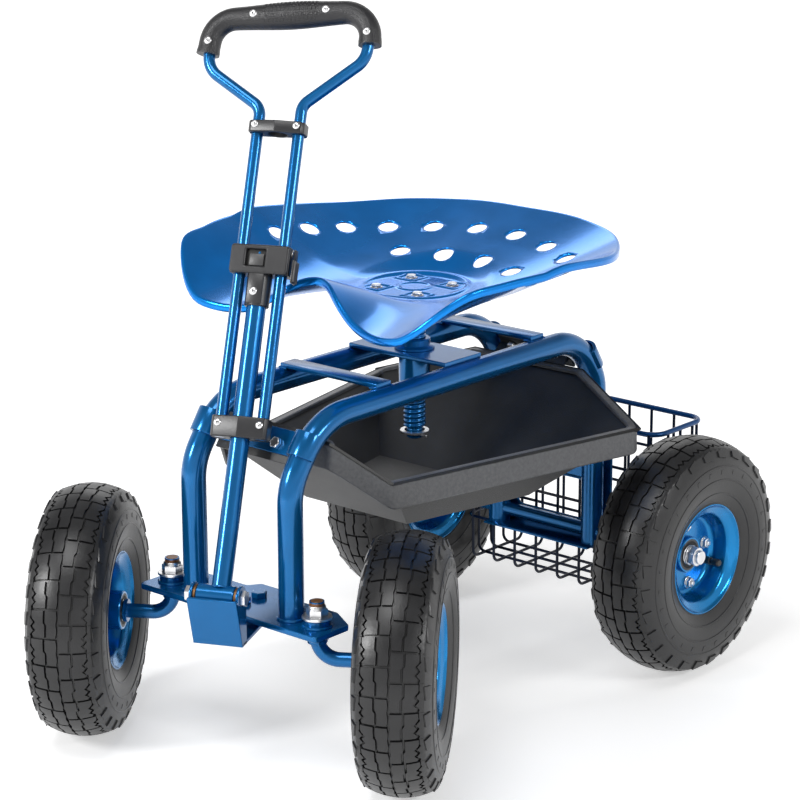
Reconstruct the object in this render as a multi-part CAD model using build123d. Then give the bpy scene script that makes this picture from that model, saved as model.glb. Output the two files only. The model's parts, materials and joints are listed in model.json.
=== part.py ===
from build123d import *
from math import atan, cos, degrees, exp, hypot, radians, sin
import os

# Wheels: pneumatic 4.10/3.50-4 tyres on pressed two-part rims
TYRE_R = 130.0
TYRE_HALF_W = 40.0
TREAD_HALF_W = 32.0
SHOULDER_R = 122.0
WALL_R = 93.0
GROOVE = 2.4
TREAD_PITCHES = 28
HUB_HALF_LENGTH = 36.0
HUB_R = 20.0
BEARING_R = 17.5
BEARING_W = 11.0
AXLE_R = 7.5
FIT = 0.06

# Running gear
WHEELBASE = 490.0
REAR_WHEEL_X = 189.5
KINGPIN_X = 100.0
SPINDLE_OFFSET = 88.0
SPINDLE_BEND_R = 22.0
WHEEL_STEER = 33.0
LEVER_STEER = 25.0
STEER_PIVOT_Y = 0.0
LEVER_ARM = 51.5
SPINDLE_ARM = 40.0
STOP_BOLT_R = 23.0
BOLT_FLATS = 14.0
NUT_FLATS = 18.0
KING_NUT_FLATS = 19.0
LINK_PLAY = 2.6

# Front axle plate and the layers beneath it
PLATE_TOP = 164.0
PLATE_T = 6.0
LEVER_Z = 147.0
LEVER_T = 4.0
LINK_T = 4.5
LEFT_LINK_Z = 142.0
RIGHT_LINK_Z = 136.5
SLEEVE_BOTTOM = 153.5
SLEEVE_TOP = 172.0
SLEEVE_R = 13.0

# Frame tubes
TUBE_X = 66.0
TUBE_R = 12.7
TUBE_WALL = 2.0
RAIL_Z = 357.0
FRONT_BEND = (0.0, 298.0)
FRONT_KNEE = (41.0, RAIL_Z)
REAR_KNEE = (456.0, RAIL_Z)
REAR_BEND = (WHEELBASE, 306.0)
REAR_LEG_END = 115.5
BAR_T = 5.0
BAR_LENGTH = 132.0
NARROW_BAR_W = 22.0
NARROW_BAR_Y = (139.0, 387.0)
WIDE_BAR_W = 58.0

# Seat and post
SEAT_Y = 263.0
SEAT_Z = 440.0
PAN_T = 2.6
POST_R = 11.9
POST_BOTTOM = 277.0
SOCKET_R = 16.5
SOCKET_BOTTOM = 330.0
SOCKET_TOP = 386.0

# Handle
BARREL_Y = -75.2
BARREL_Z = 197.7
BARREL_R = 11.0
EAR_X = 25.5
EAR_T = 3.0
FACE_SETBACK = 17.0
HANDLE_LEAN = 25.2
HANDLE_OFFSET = 3.3
HANDLE_TUBE_R = 9.7
ROD_R = 6.0
ROD_SPACING = 21.5
LOWER_CLAMP_T = 165.0
UPPER_CLAMP_T = 467.0
LATCH_T = 332.0
GRIP_R = 11.2
GRIP_BELLY_R = 14.0
GRIP_T = 584.0
GRIP_RISE = 0.095

# Tray
TRAY_T = 3.0
LIP_DEPTH = 26.0
FLOOR_Z = 219.0
LIP_Z = 287.0

# Rear panel and wire basket
PANEL_Y = WHEELBASE + TUBE_R
PANEL_T = 2.5
BASKET_HALF_X = 134.0
BASKET_Y = (513.0, 605.0)
BASKET_Z = (48.0, 246.0)
WIRE_R = 1.75
RIM_WIRE_R = 3.0

STEERED = Pos(0, STEER_PIVOT_Y, 0) * Rot(0, 0, LEVER_STEER)
HANDLE = STEERED * Pos(HANDLE_OFFSET, BARREL_Y, BARREL_Z) * Rot(-HANDLE_LEAN, 0, 0)
LEFT_SPINDLE = Pos(KINGPIN_X, 0, 0) * Rot(0, 0, WHEEL_STEER)
RIGHT_SPINDLE = Pos(-KINGPIN_X, 0, 0) * Rot(0, 0, WHEEL_STEER)

nodes = {}


def box(x0, x1, y0, y1, z0, z1):
    centre = Pos((x0 + x1) / 2, (y0 + y1) / 2, (z0 + z1) / 2)
    return centre * Box(abs(x1 - x0), abs(y1 - y0), abs(z1 - z0))


def upright(r, z0, z1, x=0.0, y=0.0):
    return Pos(x, y, (z0 + z1) / 2) * Cylinder(r, z1 - z0)


def across(r, x0, x1, y=0.0, z=0.0):
    return Pos((x0 + x1) / 2, y, z) * Rot(0, 90, 0) * Cylinder(r, x1 - x0)


def along(r, y0, y1, x=0.0, z=0.0):
    return Pos(x, (y0 + y1) / 2, z) * Rot(90, 0, 0) * Cylinder(r, y1 - y0)


def hexagon(flats, height):
    return extrude(RegularPolygon(flats / 2, 6, major_radius=False), height)


def spun(points):
    profile = make_face(Polyline(*points, close=True))
    return revolve(profile, Axis.X)


def swept(wire_r, points, bends, close=False, bore=0.0):
    path = FilletPolyline(*points, radius=bends, close=close)
    start = Plane(origin=path @ 0, z_dir=path % 0)
    section = Circle(wire_r) - Circle(bore) if bore else Circle(wire_r)
    return sweep(start * section, path=path)


def sheet(points, thickness, inside):
    face = Face(Wire.make_polygon(points))
    normal = face.normal_at()
    inward = Vector(*inside) - face.center()
    side = 1 if normal.dot(inward) > 0 else -1
    return extrude(face, thickness, dir=normal * side)


def group(shapes):
    return Compound([solid for shape in shapes for solid in shape.solids()])


# Wheels
def tyre():
    bead = [(18, 50.6), (26, 50.6), (28.3, 54.6), (32.3, 63)]
    shoulder = (TREAD_HALF_W, SHOULDER_R)
    wall = ThreePointArc(bead[-1], (TYRE_HALF_W, WALL_R), shoulder)
    tread = ThreePointArc(shoulder, (0, TYRE_R), (-TREAD_HALF_W, SHOULDER_R))
    left_wall = mirror(wall, about=Plane.YZ)
    lining = [(19, 60), (31, 82), (31, 103), (23, 114)]
    half = [bead[0]] + lining
    cavity = Polyline(*half, *[(-x, r) for x, r in reversed(half)])
    left_bead = Polyline(*[(-x, r) for x, r in bead])
    profile = make_face(Curve() + [Polyline(*bead), wall, tread, left_wall, left_bead, cavity])
    ring = revolve(profile, Axis.X)
    for x in (-17.5, 0.0, 17.5):
        crown = TYRE_R - x * x / 140
        floor = crown - GROOVE
        left, right = x - GROOVE / 2, x + GROOVE / 2
        ring -= spun([(left, floor), (right, floor), (right, TYRE_R + 5), (left, TYRE_R + 5)])
    return ring - tread_cuts()


# Straight grooves across each half of the tread, half a pitch apart from side to side
def tread_cuts():
    floor = [(1, TYRE_R - GROOVE), (17, 127.8 - GROOVE), (31, SHOULDER_R - GROOVE), (36.4, 110)]
    cutter = make_face(Polyline(*floor, (45, 110), (45, TYRE_R + 5), (1, TYRE_R + 5), close=True))
    blade = extrude(cutter, GROOVE / 2, both=True)
    step = 360 / TREAD_PITCHES
    right = [Rot(i * step, 0, 0) * blade for i in range(TREAD_PITCHES)]
    left_blade = mirror(blade, about=Plane.YZ)
    left = [Rot((i + 0.5) * step, 0, 0) * left_blade for i in range(TREAD_PITCHES)]
    return right + left


def rim():
    half = [
        (2.0, 20.2),
        (4.2, 20.2),
        (4.2, 42.5),
        (7.0, 45.8),
        (27.5, 47.8),
        (30.8, 53.0),
        (33.5, 59.5),
        (36.0, 61.0),
        (36.0, 63.2),
        (32.8, 62.3),
        (29.0, 54.4),
        (26.5, 50.2),
        (5.5, 48.2),
        (2.0, 44.0),
    ]
    return group([spun(half), spun([(-x, r) for x, r in half])])


def hub():
    end = HUB_HALF_LENGTH
    pocket = end - BEARING_W
    return spun([
        (-end, BEARING_R),
        (-end, HUB_R),
        (-1.8, HUB_R),
        (-1.8, 30.0),
        (1.8, 30.0),
        (1.8, HUB_R),
        (end, HUB_R),
        (end, BEARING_R),
        (pocket, BEARING_R),
        (pocket, 12.0),
        (-pocket, 12.0),
        (-pocket, BEARING_R),
    ])


def bearings():
    rings = []
    for side in (-1, 1):
        inner = side * (HUB_HALF_LENGTH - BEARING_W)
        outer = side * HUB_HALF_LENGTH
        ring = across(BEARING_R, min(inner, outer), max(inner, outer))
        rings.append(ring - across(AXLE_R + FIT, -50, 50))
    return group(rings)


WHEELS = {
    "front_left": LEFT_SPINDLE * Pos(SPINDLE_OFFSET, 0, TYRE_R),
    "front_right": RIGHT_SPINDLE * Pos(-SPINDLE_OFFSET, 0, TYRE_R),
    "rear_left": Pos(REAR_WHEEL_X, WHEELBASE, TYRE_R),
    "rear_right": Pos(-REAR_WHEEL_X, WHEELBASE, TYRE_R),
}
WHEEL_PIECES = {"tyre": tyre(), "rim": rim(), "hub": hub(), "bearings": bearings()}
for corner, place in WHEELS.items():
    for piece, shape in WHEEL_PIECES.items():
        nodes[f"{corner}_{piece}"] = place * shape

# Bent frame tubes, mirrored about the centre plane
outline = [(0.0, PLATE_TOP), FRONT_BEND, FRONT_KNEE, REAR_KNEE, REAR_BEND, (WHEELBASE, REAR_LEG_END)]
axle_hole = across(AXLE_R, -300, 300, WHEELBASE, TYRE_R)
tubes = {}
for name, side in (("left", 1), ("right", -1)):
    points = [(side * TUBE_X, y, z) for y, z in outline]
    tubes[name] = swept(TUBE_R, points, (60, 75, 70, 45))
    pipe = swept(TUBE_R, points, (60, 75, 70, 45), bore=TUBE_R - TUBE_WALL)
    nodes[f"{name}_frame_tube"] = pipe - axle_hole

bar_bottom = RAIL_Z + TUBE_R
bar_top = bar_bottom + BAR_T
bar_x = BAR_LENGTH / 2
nodes["narrow_flat_bars"] = group([
    box(-bar_x, bar_x, y - NARROW_BAR_W / 2, y + NARROW_BAR_W / 2, bar_bottom, bar_top)
    for y in NARROW_BAR_Y
])
wide = box(-bar_x, bar_x, SEAT_Y - WIDE_BAR_W / 2, SEAT_Y + WIDE_BAR_W / 2, bar_bottom, bar_top)
nodes["middle_flat_bar"] = wide - upright(SOCKET_R, 300, 400, 0, SEAT_Y)

socket = upright(SOCKET_R, SOCKET_BOTTOM, SOCKET_TOP, 0, SEAT_Y)
socket += upright(SOCKET_R + 5, bar_top, bar_top + 4, 0, SEAT_Y)
nodes["seat_socket"] = socket - upright(POST_R + FIT, 300, 400, 0, SEAT_Y)


# Cross brackets: one sheet with saddles pressed over both tubes
def slope_frame(bottom, top):
    middle = (0, (bottom[0] + top[0]) / 2, (bottom[1] + top[1]) / 2)
    rise = (0, top[0] - bottom[0], top[1] - bottom[1])
    return Plane(origin=middle, x_dir=(1, 0, 0), z_dir=rise)


def cross_bracket(frame, outward, lift, height=26.0):
    web = Rectangle(2 * (TUBE_X - TUBE_R), 3)
    for side in (-1, 1):
        ring = Pos(side * TUBE_X, 0) * (Circle(TUBE_R + 3) - Circle(TUBE_R + 0.05))
        ring -= Pos(side * TUBE_X, -outward * 21.5) * Rectangle(60, 40)
        web += ring
    bent = frame.location * Pos(0, 0, lift) * extrude(web, height / 2, both=True)
    holes = [frame.location * Pos(x, 0, 3) * Rot(90, 0, 0) * Cylinder(3.2, 12) for x in (-30, 30)]
    return bent - holes - tubes["left"] - tubes["right"]


FRONT_SLOPE = slope_frame(FRONT_BEND, FRONT_KNEE)
REAR_SLOPE = slope_frame(REAR_BEND, REAR_KNEE)
nodes["front_cross_bracket"] = cross_bracket(FRONT_SLOPE, -1, 6)
nodes["rear_cross_bracket"] = cross_bracket(REAR_SLOPE, 1, 0)

# Front axle plate with welded kingpin sleeves
plate_half = [(122, -26), (122, 22), (90, 41), (34, 41), (26, 54)]
plate_points = plate_half + [(-x, y) for x, y in reversed(plate_half)]
plate = extrude(make_face(Polyline(*plate_points, close=True)), PLATE_T)
plate = Pos(0, 0, PLATE_TOP - PLATE_T) * plate
for x in (-KINGPIN_X, KINGPIN_X):
    plate += upright(SLEEVE_R, SLEEVE_BOTTOM, SLEEVE_TOP, x)
for x in (-KINGPIN_X, KINGPIN_X):
    plate -= upright(AXLE_R + FIT, 140, 190, x)
plate -= upright(6, 140, 190, 0, STEER_PIVOT_Y)
plate -= upright(5, 140, 190, 0, STEER_PIVOT_Y + STOP_BOLT_R)
nodes["front_axle_plate"] = plate

pivot = upright(6, 139, PLATE_TOP, 0, STEER_PIVOT_Y)
pivot += upright(11, LEVER_Z + LEVER_T + 0.4, PLATE_TOP - PLATE_T, 0, STEER_PIVOT_Y)
pivot += Pos(0, STEER_PIVOT_Y, PLATE_TOP) * hexagon(BOLT_FLATS, 6)
pivot += Pos(0, STEER_PIVOT_Y, 138) * hexagon(NUT_FLATS, LEVER_Z - 0.4 - 138)
nodes["steering_pivot_bolt"] = pivot
stop_y = STEER_PIVOT_Y + STOP_BOLT_R
stop = upright(5, 139, PLATE_TOP, 0, stop_y)
stop += Pos(0, stop_y, PLATE_TOP) * hexagon(BOLT_FLATS, 6)
stop += Pos(0, stop_y, 138.5) * hexagon(16, LEVER_Z - 0.5 - 138.5)
nodes["steering_stop_bolt"] = stop

# Steering bracket: bottom plate with arc slot, leaning front face, two ears and the link pin
front_y = BARREL_Y - 18
foot_y = front_y + FACE_SETBACK
face_top = BARREL_Z + 1.5
lever = Circle(34) & Pos(0, 22) * Rectangle(100, 56)
lever += Rectangle(2 * EAR_X, 12) + Pos(0, foot_y / 2) * Rectangle(2 * EAR_X, -foot_y)
lever += Pos(0, LEVER_ARM / 2) * Rectangle(22, LEVER_ARM) + Pos(0, LEVER_ARM) * Circle(11)
slot = SlotArc(CenterArc((0, 0), STOP_BOLT_R, 90 - 31, 62), 2 * 5.4)
bracket = Pos(0, 0, LEVER_Z) * extrude(lever - slot - Circle(6.4), LEVER_T)


def side_plate(points, x0, x1):
    outline = make_face(Polyline(*points, close=True))
    return Pos(x0, 0, 0) * Plane.YZ.location * extrude(outline, x1 - x0)


face = [(front_y, face_top), (foot_y, LEVER_Z), (foot_y + EAR_T, LEVER_Z), (front_y + EAR_T, face_top)]
bracket += side_plate(face, -EAR_X, EAR_X)
ear = [(front_y, BARREL_Z), (foot_y, LEVER_Z), (BARREL_Y + 12, LEVER_Z), (BARREL_Y + 12, BARREL_Z)]
for x in (-EAR_X, EAR_X - EAR_T):
    bracket += side_plate(ear, x, x + EAR_T) + across(12, x, x + EAR_T, BARREL_Y, BARREL_Z)
bracket -= across(5, -60, 60, BARREL_Y, BARREL_Z)
bracket += upright(4, RIGHT_LINK_Z - 3, LEVER_Z, 0, LEVER_ARM)
nodes["steering_bracket"] = STEERED * bracket

pin = across(5, -EAR_X - 5, EAR_X, BARREL_Y, BARREL_Z)
pin += Pos(EAR_X, BARREL_Y, BARREL_Z) * Rot(0, 90, 0) * hexagon(BOLT_FLATS, 5)
pin += Pos(-EAR_X, BARREL_Y, BARREL_Z) * Rot(0, -90, 0) * hexagon(BOLT_FLATS, 6)
nodes["handle_pivot_bolt"] = STEERED * pin
bush_x = EAR_X - EAR_T - 1.5
bushes = [across(10, x - 1.4, x + 1.4, BARREL_Y, BARREL_Z) for x in (-bush_x, bush_x)]
pin_hole = across(5, -60, 60, BARREL_Y, BARREL_Z)
nodes["pivot_bushes"] = STEERED * group([bush - pin_hole for bush in bushes])


# Tie rods from the lever pin to each spindle arm
def turned(x, y, degrees):
    c = cos(radians(degrees))
    s = sin(radians(degrees))
    return (x * c - y * s, x * s + y * c)


def tie_rod(side, z):
    start = turned(0, LEVER_ARM, LEVER_STEER)
    start = (start[0], start[1] + STEER_PIVOT_Y)
    end = turned(0, SPINDLE_ARM, WHEEL_STEER)
    end = (end[0] + side * KINGPIN_X, end[1])
    body = SlotCenterToCenter(hypot(end[0] - start[0], end[1] - start[1]), 18)
    slant = Vector(end[0] - start[0], end[1] - start[1]).get_angle(Vector(1, 0, 0))
    if end[1] < start[1]:
        slant = -slant
    middle = Pos((start[0] + end[0]) / 2, (start[1] + end[1]) / 2, z)
    rod = middle * Rot(0, 0, slant) * extrude(body, LINK_T)
    rod -= upright(4 + FIT, z - 5, z + 10, *start)
    return rod - upright(4 + LINK_PLAY, z - 5, z + 10, *end)


nodes["left_tie_rod"] = tie_rod(1, LEFT_LINK_Z)
nodes["right_tie_rod"] = tie_rod(-1, RIGHT_LINK_Z)


# Spindles: cranked rods with the steering arm welded on
def spindle(side, link_z):
    end = SPINDLE_OFFSET + HUB_HALF_LENGTH + 15
    path = [(0, 0, 190), (0, 0, TYRE_R), (side * end, 0, TYRE_R)]
    rod = swept(AXLE_R, path, SPINDLE_BEND_R)
    shoulder = SPINDLE_OFFSET - HUB_HALF_LENGTH - 0.5
    rod += across(12, *sorted((side * (shoulder - 4), side * shoulder)), 0, TYRE_R)
    arm = Pos(0, SPINDLE_ARM / 2) * Rot(0, 0, 90) * SlotCenterToCenter(SPINDLE_ARM, 20)
    rod += Pos(0, 0, LEVER_Z) * extrude(arm, LEVER_T)
    return rod + upright(4, link_z - 3, LEVER_Z, 0, SPINDLE_ARM)


def spindle_nuts(side):
    outer = SPINDLE_OFFSET + HUB_HALF_LENGTH + 0.5
    washer = upright(15, SLEEVE_TOP + 0.4, SLEEVE_TOP + 2.9) - upright(AXLE_R, 150, 200)
    nut = Pos(0, 0, SLEEVE_TOP + 2.9) * hexagon(KING_NUT_FLATS, 11) - upright(AXLE_R, 150, 200)
    turn = Rot(0, side * 90, 0)
    end_washer = turn * (upright(14, outer, outer + 2) - upright(AXLE_R, 0, 200))
    end_nut = turn * (Pos(0, 0, outer + 2) * hexagon(22, 9) - upright(AXLE_R, 0, 200))
    lift = Pos(0, 0, TYRE_R)
    return group([washer, nut, lift * end_washer, lift * end_nut])


nodes["left_spindle"] = LEFT_SPINDLE * spindle(1, LEFT_LINK_Z)
nodes["right_spindle"] = RIGHT_SPINDLE * spindle(-1, RIGHT_LINK_Z)
nodes["left_spindle_nuts"] = LEFT_SPINDLE * spindle_nuts(1)
nodes["right_spindle_nuts"] = RIGHT_SPINDLE * spindle_nuts(-1)

# Rear axle through both legs, with shoulders inside the hubs
axle_end = REAR_WHEEL_X + HUB_HALF_LENGTH + 15
axle = across(AXLE_R, -axle_end, axle_end, WHEELBASE, TYRE_R)
rear_nuts = []
for side in (-1, 1):
    inner = REAR_WHEEL_X - HUB_HALF_LENGTH - 0.5
    axle += across(12, *sorted((side * (inner - 5), side * inner)), WHEELBASE, TYRE_R)
    outer = REAR_WHEEL_X + HUB_HALF_LENGTH + 0.5
    nut = upright(14, outer, outer + 2) + Pos(0, 0, outer + 2) * hexagon(22, 9)
    nut -= upright(AXLE_R, 0, 300)
    rear_nuts.append(Pos(0, WHEELBASE, TYRE_R) * Rot(0, side * 90, 0) * nut)
nodes["rear_axle"] = axle
nodes["rear_axle_nuts"] = group(rear_nuts)

# Rear panel: pressed sheet with one window, folded along the bottom
face = Pos(0, 187.5) * RectangleRounded(164, 149, 8)
face -= Pos(0, 158) * RectangleRounded(100, 48, 9)
panel = Pos(0, PANEL_Y + PANEL_T, 0) * Rot(90, 0, 0) * extrude(face, PANEL_T)
panel += box(-74, 74, WHEELBASE - 20, PANEL_Y + 1, REAR_LEG_END - PANEL_T, REAR_LEG_END)
nodes["rear_panel"] = panel

# Tool tray: floor, two long sloping end walls, two side walls, hanging lip
FRONT_SLANT = 0.922
REAR_SLANT = 0.774
inside = (0, 250, 300)
floor_front = (70.0, 169.0)
floor_rear = (105.0, 325.0)
lip_front_y = floor_front[1] - (LIP_Z - FLOOR_Z) / FRONT_SLANT
lip_rear_y = floor_rear[1] + (LIP_Z - FLOOR_Z) / REAR_SLANT
flare = (floor_rear[0] - floor_front[0]) / (floor_rear[1] - floor_front[1])
LIP_REAR_X = 186.0
lip_front_x = LIP_REAR_X - flare * (lip_rear_y - lip_front_y)
ear_front = (76.0, 46.0, FLOOR_Z + (floor_front[1] - 46.0) * FRONT_SLANT)
ear_rear = (76.0, 458.0, FLOOR_Z + (458.0 - floor_rear[1]) * REAR_SLANT)
f1 = (floor_front[0], floor_front[1], FLOOR_Z)
f2 = (floor_rear[0], floor_rear[1], FLOOR_Z)
l1 = (lip_front_x, lip_front_y, LIP_Z)
l2 = (LIP_REAR_X, lip_rear_y, LIP_Z)


def mirrored(point):
    return (-point[0], point[1], point[2])


def lowered(point):
    return (point[0], point[1], point[2] - LIP_DEPTH)


def skirt(a, b):
    return sheet([a, b, lowered(b), lowered(a)], TRAY_T, (0, 250, a[2]))


tray = sheet([f1, f2, mirrored(f2), mirrored(f1)], TRAY_T, inside)
tray += sheet([f1, l1, ear_front, mirrored(ear_front), mirrored(l1), mirrored(f1)], TRAY_T, inside)
tray += sheet([f2, l2, ear_rear, mirrored(ear_rear), mirrored(l2), mirrored(f2)], TRAY_T, inside)
tray += sheet([f1, f2, l2, l1], TRAY_T, inside)
tray += sheet([mirrored(p) for p in (f1, f2, l2, l1)], TRAY_T, inside)
for first, second in ((l1, l2), (l1, ear_front), (l2, ear_rear)):
    tray += skirt(first, second)
    tray += skirt(mirrored(first), mirrored(second))
tray += skirt(ear_front, mirrored(ear_front))
tray += skirt(ear_rear, mirrored(ear_rear))

# Tongues that bolt the tray to the cross brackets
front_reach = (48, 34.0, FLOOR_Z + (floor_front[1] - 34.0) * FRONT_SLANT)
front_root = (48, 50.0, FLOOR_Z + (floor_front[1] - 50.0) * FRONT_SLANT)
tray += sheet([front_root, front_reach, mirrored(front_reach), mirrored(front_root)], TRAY_T, inside)
tray += FRONT_SLOPE.location * box(-48, 48, 1.6, 4.6, -14, 21)
rear_reach = (48, 469.0, FLOOR_Z + (469.0 - floor_rear[1]) * REAR_SLANT)
rear_root = (48, 454.0, FLOOR_Z + (454.0 - floor_rear[1]) * REAR_SLANT)
tray += sheet([rear_root, rear_reach, mirrored(rear_reach), mirrored(rear_root)], TRAY_T, inside)
tray += REAR_SLOPE.location * box(-48, 48, -4.6, -1.6, -14, 14)
nodes["tool_tray"] = tray

# Wire basket: rim, two long grilles, two end grilles and the floor
by0, by1 = BASKET_Y
bz0, bz1 = BASKET_Z
bx = BASKET_HALF_X
rim_z = bz1
corners = [(-bx, by0, rim_z), (bx, by0, rim_z), (bx, by1, rim_z), (-bx, by1, rim_z)]
rim_wire = swept(RIM_WIRE_R, corners, 18, close=True)

WIRE_STEP = 31.0
LEVELS = (100.0, 150.0, 200.0)
columns = [WIRE_STEP * i for i in range(-4, 5)]
depths = [by0 + (by1 - by0) * i / 4 for i in range(1, 4)]
wire_top = rim_z - RIM_WIRE_R
wire_low = bz0 + 2 * WIRE_R


def grille(uprights, levels):
    mesh = uprights[0]
    for wire in uprights[1:] + levels:
        mesh += wire
    return mesh


long_grilles = []
for y in (by0, by1):
    ups = [upright(WIRE_R, wire_low, wire_top, x, y) for x in columns]
    rows = [across(WIRE_R, -bx + 4, bx - 4, y, z) for z in LEVELS]
    long_grilles.append(grille(ups, rows))
hooks = []
for x in (-46.5, 46.5):
    hook = box(x - 6, x + 6, PANEL_Y - 2, by0, 262.5, 265)
    hook += box(x - 6, x + 6, PANEL_Y - 4.5, PANEL_Y - 2, 245, 265)
    hook += box(x - 6, x + 6, by0 - 1.5, by0 + 1.5, rim_z + RIM_WIRE_R, 265)
    hooks.append(hook)
nodes["basket_long_grilles"] = group(long_grilles)
nodes["basket_rim"] = group([rim_wire] + hooks)

end_grilles = []
for x in (-bx, bx):
    ups = [upright(WIRE_R, wire_low, wire_top, x, y) for y in depths]
    rows = [along(WIRE_R, by0 + 4, by1 - 4, x, z) for z in LEVELS]
    end_grilles.append(grille(ups, rows))
nodes["basket_end_grilles"] = group(end_grilles)
floor_x = [across(WIRE_R, -bx, bx, y, bz0 + WIRE_R) for y in [by0 + 3] + depths + [by1 - 3]]
floor_y = [along(WIRE_R, by0, by1, x, bz0 + WIRE_R) for x in [-bx + 3] + columns + [bx - 3]]
nodes["basket_floor"] = grille(floor_x, floor_y)

# Handle tube, barrel and the latch that grips the sliding rods
barrel = Pos(-HANDLE_OFFSET, 0, 0) * (across(BARREL_R, -19, 19) - across(5 + FIT, -30, 30))
nodes["pivot_barrel"] = HANDLE * barrel
pole = upright(HANDLE_TUBE_R, 0, LATCH_T + 4) - across(BARREL_R, -30, 30)
nodes["handle_tube"] = HANDLE * (pole - upright(HANDLE_TUBE_R - TUBE_WALL, 0, LATCH_T + 4))

latch = box(-29.5, 32, -13, 13, LATCH_T - 14, LATCH_T + 14)
latch = fillet(latch.edges().filter_by(Axis.Z), 5)
latch += upright(12.2, LATCH_T - 46, LATCH_T - 10)
latch -= upright(HANDLE_TUBE_R, 0, LATCH_T + 4)
for x in (-ROD_SPACING, ROD_SPACING):
    latch -= upright(ROD_R + FIT, 0, 600, x)
latch -= box(-13, 9, -14, -10.5, LATCH_T - 8, LATCH_T + 10)
latch -= across(4, 10.2, 40, 0, LATCH_T + 9)
nodes["latch_block"] = HANDLE * latch
nodes["latch_pin"] = HANDLE * across(4 - FIT, 28, 32, 0, LATCH_T + 9)

lever_tab = box(33.3, 37, -9, 9, LATCH_T - 27, LATCH_T + 13)
for i in range(5):
    rib_z = LATCH_T - 24 + 5 * i
    lever_tab += box(36.5, 38.4, -9, 9, rib_z, rib_z + 2.4)
lever_tab -= along(1.1, -20, 20, 35, LATCH_T + 9)
nodes["latch_lever"] = HANDLE * lever_tab

# The loop above the upper clamp stands a little askew: its left side is lower than its right
def askew(x, t):
    return (x, 0, t + GRIP_RISE * x)


rods = {}
for name, side in (("left", 1), ("right", -1)):
    bends = [(side * x, t) for x, t in ((ROD_SPACING, 490), (81, 533), (83.5, 562))]
    path = [(side * ROD_SPACING, 0, 155)] + [askew(x, t) for x, t in bends]
    rods[name] = swept(ROD_R, path, (16, 24))
    nodes[f"{name}_handle_rod"] = HANDLE * rods[name]


def clamp(middle, half_height):
    rear = [(30, 7), (27, 10.5), (-27, 10.5), (-30, 7)]
    front = [(-30, -7), (-27, -10.5), (0, -14), (27, -10.5), (30, -7)]
    outline = make_face(Polyline(*rear, *front, close=True))
    body = Pos(0, 0, middle) * extrude(outline, half_height, both=True)
    body -= upright(HANDLE_TUBE_R + FIT, 0, 700)
    for x in (-ROD_SPACING, ROD_SPACING):
        body -= upright(ROD_R, 0, 700, x)
    return body


nodes["lower_clamp"] = HANDLE * clamp(LOWER_CLAMP_T, 10.5)
nodes["upper_clamp"] = HANDLE * clamp(UPPER_CLAMP_T, 6)

# Moulded grip in two halves: a bent tube with a belly at its middle
grip_points = [askew(x, t) for x, t in ((-84, 548), (-81, GRIP_T), (81, GRIP_T), (84, 548))]
grip = swept(GRIP_R, grip_points, 27)
belly_arc = ThreePointArc((-56, GRIP_R - 1), (0, GRIP_BELLY_R), (56, GRIP_R - 1))
belly_base = Polyline((56, GRIP_R - 1), (56, 0), (-56, 0), (-56, GRIP_R - 1))
belly_face = make_face(Curve() + [belly_arc, belly_base])
belly = revolve(belly_face, Axis.X)
grip += Pos(0, 0, GRIP_T) * Rot(0, -degrees(atan(GRIP_RISE)), 0) * belly
grip = grip - rods["left"] - rods["right"]
nodes["grip_front"] = HANDLE * (grip & box(-130, 130, -30, 0, 500, 700))
nodes["grip_rear"] = HANDLE * (grip & box(-130, 130, 0, 30, 500, 700))

heads = []
for x in (-ROD_SPACING, ROD_SPACING):
    for t in (LOWER_CLAMP_T + 3, UPPER_CLAMP_T + 1.5):
        heads.append(Pos(x, -11.5, t) * Rot(90, 0, 0) * Cylinder(3.6, 3.2))
for side in (-1, 1):
    for x, t, depth in ((82, 560, GRIP_R), (37.5, GRIP_T + 1, GRIP_BELLY_R - 1.3)):
        spot = askew(side * x, t)
        heads.append(Pos(spot[0], -depth, spot[2]) * Rot(90, 0, 0) * Cylinder(3.6, 2.4))
for name in ("lower_clamp", "upper_clamp", "grip_front"):
    nodes[name] = nodes[name] - [HANDLE * head for head in heads]
nodes["handle_screws"] = HANDLE * group(heads)

# Seat post, washer and split pin
post = upright(POST_R, POST_BOTTOM, SEAT_Z - 9, 0, SEAT_Y)
split_pin = across(1.6, -17, 17, SEAT_Y, 281)
nodes["post_pin"] = split_pin
nodes["seat_post"] = post - split_pin
washer = upright(15.5, 283, 285.5, 0, SEAT_Y)
nodes["post_washer"] = washer - upright(POST_R, 200, 400, 0, SEAT_Y)

# Mounting plate with the sleeve that turns on the post
pan_bottom = SEAT_Z - PAN_T - 0.3
plate_top = Pos(0, SEAT_Y, pan_bottom - 4) * extrude(RectangleRounded(84, 84, 8), 4)
sleeve = upright(18, 404, pan_bottom - 4, 0, SEAT_Y) - upright(POST_R + FIT, 300, 440, 0, SEAT_Y)
nodes["seat_plate"] = plate_top + sleeve


# Pressed seat pan: steep sides and back, raised front ridge between two thigh lobes
def clipped(value):
    return min(max(value, 0.0), 2.0)


def pan_height(u, v):
    side = 45 * clipped((abs(u) - 40) / 190) ** 2.15
    back = 47 * clipped((v + 10) / 175) ** 1.35
    bowl = (side ** 1.1 + back ** 1.1) ** (1 / 1.1)
    ridge = 36 * exp(-((u / 50) ** 2)) * clipped((-v - 30) / 115) ** 1.17
    wing = 50 * (1 - exp(-(clipped((abs(u) - 130) / 76) ** 2))) * clipped((-v - 50) / 100) ** 1.3
    drop = 5.5 * clipped((-v - 60) / 105) ** 2 * (1 - exp(-((u / 70) ** 2)))
    ramp = min(max((hypot(u, v) - 44) / 46, 0.0), 1.0)
    return (bowl + ridge + wing - drop) * ramp * ramp * (3 - 2 * ramp)


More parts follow.
